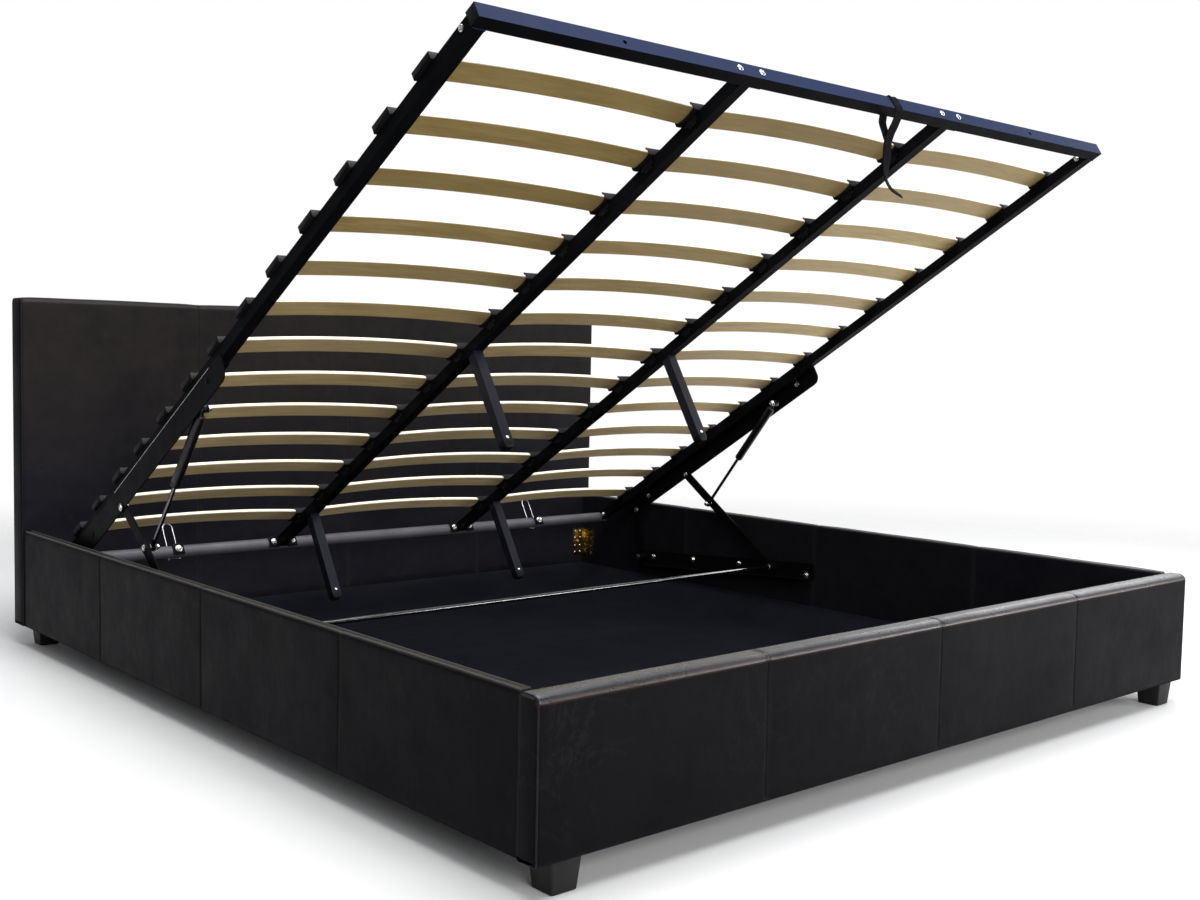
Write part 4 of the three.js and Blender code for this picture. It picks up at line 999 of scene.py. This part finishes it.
def base_point(x, u, v):
    """Point on the base angle: u along it from its front pivot, v square to it."""
    (y0, z0), (y1, z1) = ARM_FOOT, LINK_FOOT
    a = math.atan2(z1 - z0, y1 - y0)
    return bed_point(x, y0 + u * math.cos(a) - v * math.sin(a), z0 + u * math.sin(a) + v * math.cos(a))


def linkage_fasteners():
    """Bolts of the base plates, pivot washers of the arms, and the lower nut of each strut."""
    base, arms = Builder(), Builder()
    for label, side in SIDES:
        inward = (-side, 0, 0)
        for u, v in ((517, 0), (337, 0), (141, 0), (-122, -18.6)):
            base.hexagon(base_point(side * 912.7, u, v), inward, 11, 5.0, washer=9)
        arms.turned(ARM_WASHER, bed_point(side * 889.5, *ARM_FOOT), inward)
        base.turned(LINK_DOME, bed_point(side * 887.4, *LINK_FOOT), inward)
        arms.hexagon(bed_point(side * 893.9, *STRUT_FOOT), (side, 0, 0), 13, 3.0)
        arms.turned(STRUT_WASHER, bed_point(side * 881.9, *STRUT_FOOT), inward)
    base.object("base_plate_bolts", ZINC, "bed_base", slot="zinc")
    arms.object("front_arm_washers", ZINC, "swing_arms", slot="zinc")
    for label, side in SIDES:
        nut = Builder()
        nut.hexagon(bed_point(side * 866.2, *STRUT_FOOT), (-side, 0, 0), 10, 4.0, washer=7)
        nut.object(f"strut_nut_{label}", ZINC, f"strut_rod_{label}", slot="zinc")


def cross_bar():
    """Zinc rod with chamfered ends through the lower pivots of both arms."""
    b = Builder()
    length = 1830.8
    b.turned([(0, 4.6), (0.2, 5.2), (1.0, 6.0), (length - 1.0, 6.0), (length - 0.2, 5.2), (length, 4.6)],
             bed_point(-length / 2, *ARM_FOOT), (1, 0, 0), 28)
    b.object("cross_bar_rod", BAR_ROD, "swing_arms", ("cross_bar",), slot="zinc")


def eye_ring(b, centre, outer=9.0, inner=4.4, half=5.0):
    """Pressed eye of a strut: a ring round the pin."""
    profile = [(-half, inner), (-half, outer - 1.0), (0.8 - half, outer), (half - 0.8, outer),
               (half, outer - 1.0), (half, inner)]
    b.loft([[centre + Vector((x, r * math.cos(a), r * math.sin(a))) * MM for x, r in profile]
            for a in turns(32)], loop=True)


def struts():
    """Gas struts: the painted cylinder with its rolled end, the rod, and an eye at each end."""
    length = math.dist(STRUT_TOP, STRUT_FOOT)
    axis = Vector((0, *(b - a for a, b in zip(STRUT_TOP, STRUT_FOOT)))) / length
    for label, side in SIDES:
        top = bed_point(side * STRUT_X, *STRUT_TOP)
        body, rod, eye = Builder(), Builder(), Builder()
        body.turned(CYLINDER, top, axis, 36)
        body.turned([(4, 4.6), (8, 5.0), (15.5, 5.0), (16, 4.4)], top, axis)
        eye_ring(body, top)
        body.object(f"strut_cylinder_{label}_body", STRUT_PAINT, f"strut_cylinder_{label}",
                    (f"strut_cylinder_{label}",), slot="strut_steel")
        rod.turned([(197, 4.2), (197.6, 4.6), (length - 25, 4.6), (length - 24, 4.6), (length - 24, 4.2)],
                   top, axis, 28)
        rod.object(f"strut_rod_{label}_shaft", ROD, f"strut_rod_{label}", (f"strut_rod_{label}",),
                   slot="rod_chrome")
        eye.turned([(length - 25, 5.0), (length - 24.4, 5.6), (length - 10, 5.6), (length - 8.5, 5.2),
                    (length - 7.6, 4.6)], top, axis)
        eye_ring(eye, bed_point(side * STRUT_X, *STRUT_FOOT))
        eye.object(f"strut_eye_{label}", BLACK_STEEL, f"strut_rod_{label}", (f"strut_rod_{label}",),
                   slot="strut_steel")


# Mattress retainer loops
RETAINER_X = 600


def retainer(label, centre):
    """A loop of bent wire on a plate behind the head tube, bolted through it."""
    wire, back, washer, bolt = Builder(), Builder(), Builder(), Builder()
    half, top = 13, 88
    legs = [0.3 + 87.7 * i / 12 for i in range(13)]
    arch = [math.pi * i / 18 for i in range(1, 18)]
    path = [(-half, h) for h in legs]
    path += [(-half * math.cos(a), top + half * math.sin(a)) for a in arch]
    path += [(half, h) for h in reversed(legs)]
    tube_along(wire, [lid(centre + x, 2028.3, h) for x, h in path], 2.0, 12)
    node = (f"retainer_loop_{label}",)
    wire.object(f"retainer_wire_{label}", BAR_STEEL, "lid", node, slot="zinc", sharp=50)
    back.box((centre - 18, 2026.3, 0), (centre + 18, 2029.3, 25), lid, 0.8)
    back.hexagon(lid(centre, 2029.3, TUBE_MIDDLE), lid_dir(1, 0), 10, 4.5)
    back.object(f"retainer_plate_{label}", BAR_STEEL, "lid", node, slot="zinc")
    washer.box((centre - 15, LUG_S, -3), (centre + 15, LUG_S + LUG_THICK, 28), lid, 1.0)
    washer.object(f"retainer_washer_{label}", BLACK_STEEL, "lid", slot="frame_steel")
    bolt.hexagon(lid(centre, LUG_S, TUBE_MIDDLE), lid_dir(-1, 0), 12, 5, washer=9)
    bolt.object(f"retainer_bolt_{label}", ZINC, "lid", slot="zinc")


# Pull strap
def ribbon(b, weave, path, turn, taper, width, thick):
    """Flat band through path points, turned about the path and narrowed by a share at each. Weave takes
    the distances along it and across it in metres."""
    lane = [k / 8 - 0.5 for k in range(9)]
    run = 0.0
    rings = []
    for i, (p, angle, narrow) in enumerate(zip(path, turn, taper)):
        before = path[max(i - 1, 0)]
        run += (p - before).length
        t = (path[min(i + 1, len(path) - 1)] - before).normalized()
        flat = Vector((1, 0, 0))
        across = Matrix.Rotation(angle, 3, t) @ (flat - t * flat.dot(t)).normalized()
        normal = t.cross(across)
        ring = []
        for face, places in ((1, lane), (-1, lane[::-1])):
            for u in places:
                thin = 1.0 if abs(u) < 0.45 else 0.7
                ring.append(p + across * narrow * u * width * MM + normal * face * thick * 0.5 * thin * MM)
                weave.append((run, (u + 0.5) * width * MM))
        rings.append(ring)
    b.loft(rings)


def smooth_path(points, per):
    """Points on a smooth curve through the given ones."""
    out = []
    for i in range(len(points) - 1):
        p0 = points[max(i - 1, 0)]
        p1, p2 = points[i], points[i + 1]
        p3 = points[min(i + 2, len(points) - 1)]
        for k in range(per):
            t = k / per
            out.append(0.5 * ((2 * p1) + (p2 - p0) * t + (2 * p0 - 5 * p1 + 4 * p2 - p3) * t * t
                              + (3 * p1 - p0 - 3 * p2 + p3) * t * t * t))
    out.append(points[-1])
    return out


def from_edge(x, dy, dz):
    """Frame point by its place from the low edge of the foot tube."""
    return bed_point(x, EDGE_Y + dy, EDGE_Z + dz)


def strap_loop():
    """Route of the loop round the foot tube, held clear of it by a small gap."""
    gap = 1.3
    back, top = TUBE + gap, FOOT_TUBE_HEIGHT + gap
    joint = from_edge(103, 12, -62)
    half = Vector((0, 0.8 * MM, 0))
    return smooth_path([
        joint + half, from_edge(100, 17, -46), from_edge(97, 22, -28), lid(96, 24.5, -gap), lid(96, back, 2),
        lid(98, back, 14), lid(101, back, 26), lid(102, 23, top), lid(107, 12.5, top), lid(112, 2, top),
        lid(114, -gap, 26), lid(117, -gap, 14), lid(119, -gap, 3), from_edge(118, -1, -9),
        from_edge(113, 3, -28), from_edge(107, 8, -46), joint - half], 5)


def strap_tail():
    """Route of the tail that hangs free below the loop and turns aside at its end."""
    return smooth_path([from_edge(*p) for p in (
        (103, 12, -59), (101.5, 12, -76), (100, 11.5, -94), (99, 12, -112), (101, 13, -128), (107, 14, -142),
        (124, 14, -155), (152, 12, -166))], 8)


def pull_strap():
    b, weave = Builder(), []
    loop, tail = strap_loop(), strap_tail()
    ribbon(b, weave, loop, [0.0] * len(loop), [1.0] * len(loop), 23, 1.5)
    along = [i / (len(tail) - 1) for i in range(len(tail))]
    turn = [math.radians(6 * math.sin(t * 5) - 30 * min(max((t - 0.25) / 0.45, 0), 1)) for t in along]
    taper = [1.0 - 0.45 * max(0, (t - 0.70) / 0.30) ** 2 for t in along]
    ribbon(b, weave, tail, turn, taper, 22, 2.8)
    obj = b.object("pull_strap_webbing", WEBBING, "lid", ("pull_strap",), slot="webbing", sharp=50)
    attribute(obj, "weave_u", [u for u, v in weave])
    attribute(obj, "weave_v", [v for u, v in weave])
    thread = Builder()
    for dy in (10.0, 14.0):
        for dz in (-68, -80):
            stitch_line(thread, [from_edge(x, dy, dz) for x in (94, 110)], 3.4, 2.6, 0.35)
    thread.object("strap_stitches", THREAD, "lid", slot="webbing", sharp=60)


# Small details of the lid frame
def tube_details():
    """Plastic caps in the open ends of the foot tube, and the welds where the side tubes meet it."""
    plugs, welds = Builder(), Builder()
    for side in (-1, 1):
        plugs.box((side * 895.0, 1.2, 1.2), (side * 896.6, TUBE - 1.2, FOOT_TUBE_HEIGHT - 1.2), lid, 0.6)
        for h, swing in ((-0.2, 0.4), (25.2, -0.4)):
            ends = [(side * SIDE_X + dx, 25.6, h) for dx in (-TUBE_MIDDLE, TUBE_MIDDLE)]
            weld(welds, *ends, 14, swing, 2.2, 1.6)
    plugs.object("foot_tube_end_caps", HOLDER_PLASTIC, "lid", slot="glide_plastic")
    welds.object("corner_welds", POWDER, "lid", slot="frame_steel", sharp=60)


# Stage, light and camera. World back is the way from the middle towards the bright part of the fill
WORLD_FILL = 0.16
WORLD_BRIGHT = 0.75
WORLD_BACK = (0.70, 0.71, 0.10)
FLOOR_HALF = 30
PHOTO_WIDTH = 1200
FOCAL_PIXELS = 1362.77
SENSOR = 36.0


def link(name, data):
    obj = bpy.data.objects.new(name, data)
    bpy.context.scene.collection.objects.link(obj)
    return obj


def pale_floor():
    """A floor that passes into the white background between two distances from the middle."""
    mesh = bpy.data.meshes.new("floor")
    h = FLOOR_HALF
    mesh.from_pydata([(-h, -h, 0), (h, -h, 0), (h, h, 0), (-h, h, 0)], [], [(0, 1, 2, 3)])
    m = Mat("pale_floor", (0.86, 0.86, 0.86), 0.85)
    m.color(m.mix(m.spots(1.5, 2, 0.5), (0.84, 0.84, 0.845), (0.88, 0.88, 0.88)))
    away = m.node("ShaderNodeVectorMath", {0: m.coords}, operation="LENGTH").outputs["Value"]
    share = m.node("ShaderNodeMapRange", {"Value": away, "From Min": 2.0, "From Max": 4.6},
                   interpolation_type="SMOOTHSTEP").outputs["Result"]
    clear = m.node("ShaderNodeBsdfTransparent").outputs[0]
    blend = m.node("ShaderNodeMixShader", {0: share, 1: m.bsdf.outputs[0], 2: clear})
    m.put(m.out, 0, blend.outputs[0])
    mesh.materials.append(m.mat)
    link("floor", mesh)


def studio_world():
    """White where the camera looks, and a soft fill that is brighter from beyond the headboard."""
    world = bpy.data.worlds.new("studio")
    bpy.context.scene.world = world
    world.use_nodes = True
    n = Nodes(world.node_tree)
    way = n.node("ShaderNodeTexCoord").outputs["Generated"]
    facing = n.node("ShaderNodeVectorMath", {0: way, 1: WORLD_BACK}, operation="DOT_PRODUCT").outputs["Value"]
    strength = n.node("ShaderNodeMapRange", {
        "Value": facing, "From Min": 0.15, "From Max": 0.85, "To Min": WORLD_FILL, "To Max": WORLD_BRIGHT})
    seen = n.node("ShaderNodeBackground", {"Color": (1, 1, 1), "Strength": 1.0})
    fill = n.node("ShaderNodeBackground", {"Color": (0.93, 0.96, 1.0), "Strength": strength.outputs[0]})
    chosen = n.node("ShaderNodeMixShader", {
        0: n.node("ShaderNodeLightPath").outputs["Is Camera Ray"], 1: fill.outputs[0], 2: seen.outputs[0]})
    n.node("ShaderNodeOutputWorld", {0: chosen.outputs[0]})
    bpy.context.scene.view_settings.view_transform = "Standard"


def softbox(name, place, target, size, power):
    light = bpy.data.lights.new(name, "AREA")
    light.shape = "RECTANGLE"
    light.size, light.size_y = size
    light.energy = power
    obj = link(name, light)
    obj.location = place
    obj.rotation_euler = (Vector(target) - Vector(place)).to_track_quat("-Z", "Y").to_euler()


def softboxes():
    softbox("top_softbox", (0.2, -0.9, 4.6), (0, -0.1, 0.4), (3.6, 3.6), 210)
    softbox("front_softbox", (-1.8, -7.4, 3.1), (0, 0, 0.6), (4.8, 3.1), 330)
    softbox("low_softbox", (2.8, -3.2, 0.7), (0.4, 0.1, 0.7), (1.6, 1.0), 50)
    softbox("side_softbox", (-5.0, 0.2, 2.2), (0, 0.4, 0.5), (2.6, 2.6), 7)
    softbox("right_softbox", (3.4, -0.5, 2.0), (0, -0.8, 0.5), (2.6, 1.3), 38)
    softbox("head_softbox", (-1.0, -0.4, 2.5), (-0.6, 1.0, 0.6), (1.4, 0.6), 22)


def photo_camera():
    """The photograph's camera: its place, its yaw, pitch and roll, and its focal length in photo pixels."""
    data = bpy.data.cameras.new("photo_camera")
    data.sensor_fit = "HORIZONTAL"
    data.sensor_width = SENSOR
    data.lens = FOCAL_PIXELS / PHOTO_WIDTH * SENSOR
    data.clip_start = 0.05
    data.clip_end = 100
    obj = link("photo_camera", data)
    yaw, pitch, roll = math.radians(41.16), math.radians(3.85), math.radians(1.14)
    forward = Vector((math.sin(yaw) * math.cos(pitch), math.cos(yaw) * math.cos(pitch), -math.sin(pitch)))
    level = Vector((math.cos(yaw), -math.sin(yaw), 0))
    upright = level.cross(forward)
    right = level * math.cos(roll) + upright * math.sin(roll)
    up = upright * math.cos(roll) - level * math.sin(roll)
    basis = Matrix((right, up, -forward)).transposed()
    obj.matrix_world = Matrix.Translation(Vector((-2.0993, -2.5203, 0.7607))) @ basis.to_4x4()
    bpy.context.scene.camera = obj


end_boards()
side_rails()
seam_stitches()
edge_piping()
bed_feet()
lining_sheet()
corner_brackets()
slat_rows()
steel_frame()
head_tube()
foot_tube_bolts()
lid_plate_fittings()
leg_details()
linkage_fasteners()
cross_bar()
struts()
for which, sign in SIDES:
    retainer(which, sign * RETAINER_X)
pull_strap()
tube_details()
pale_floor()
studio_world()
softboxes()
photo_camera()

bpy.context.view_layer.update()
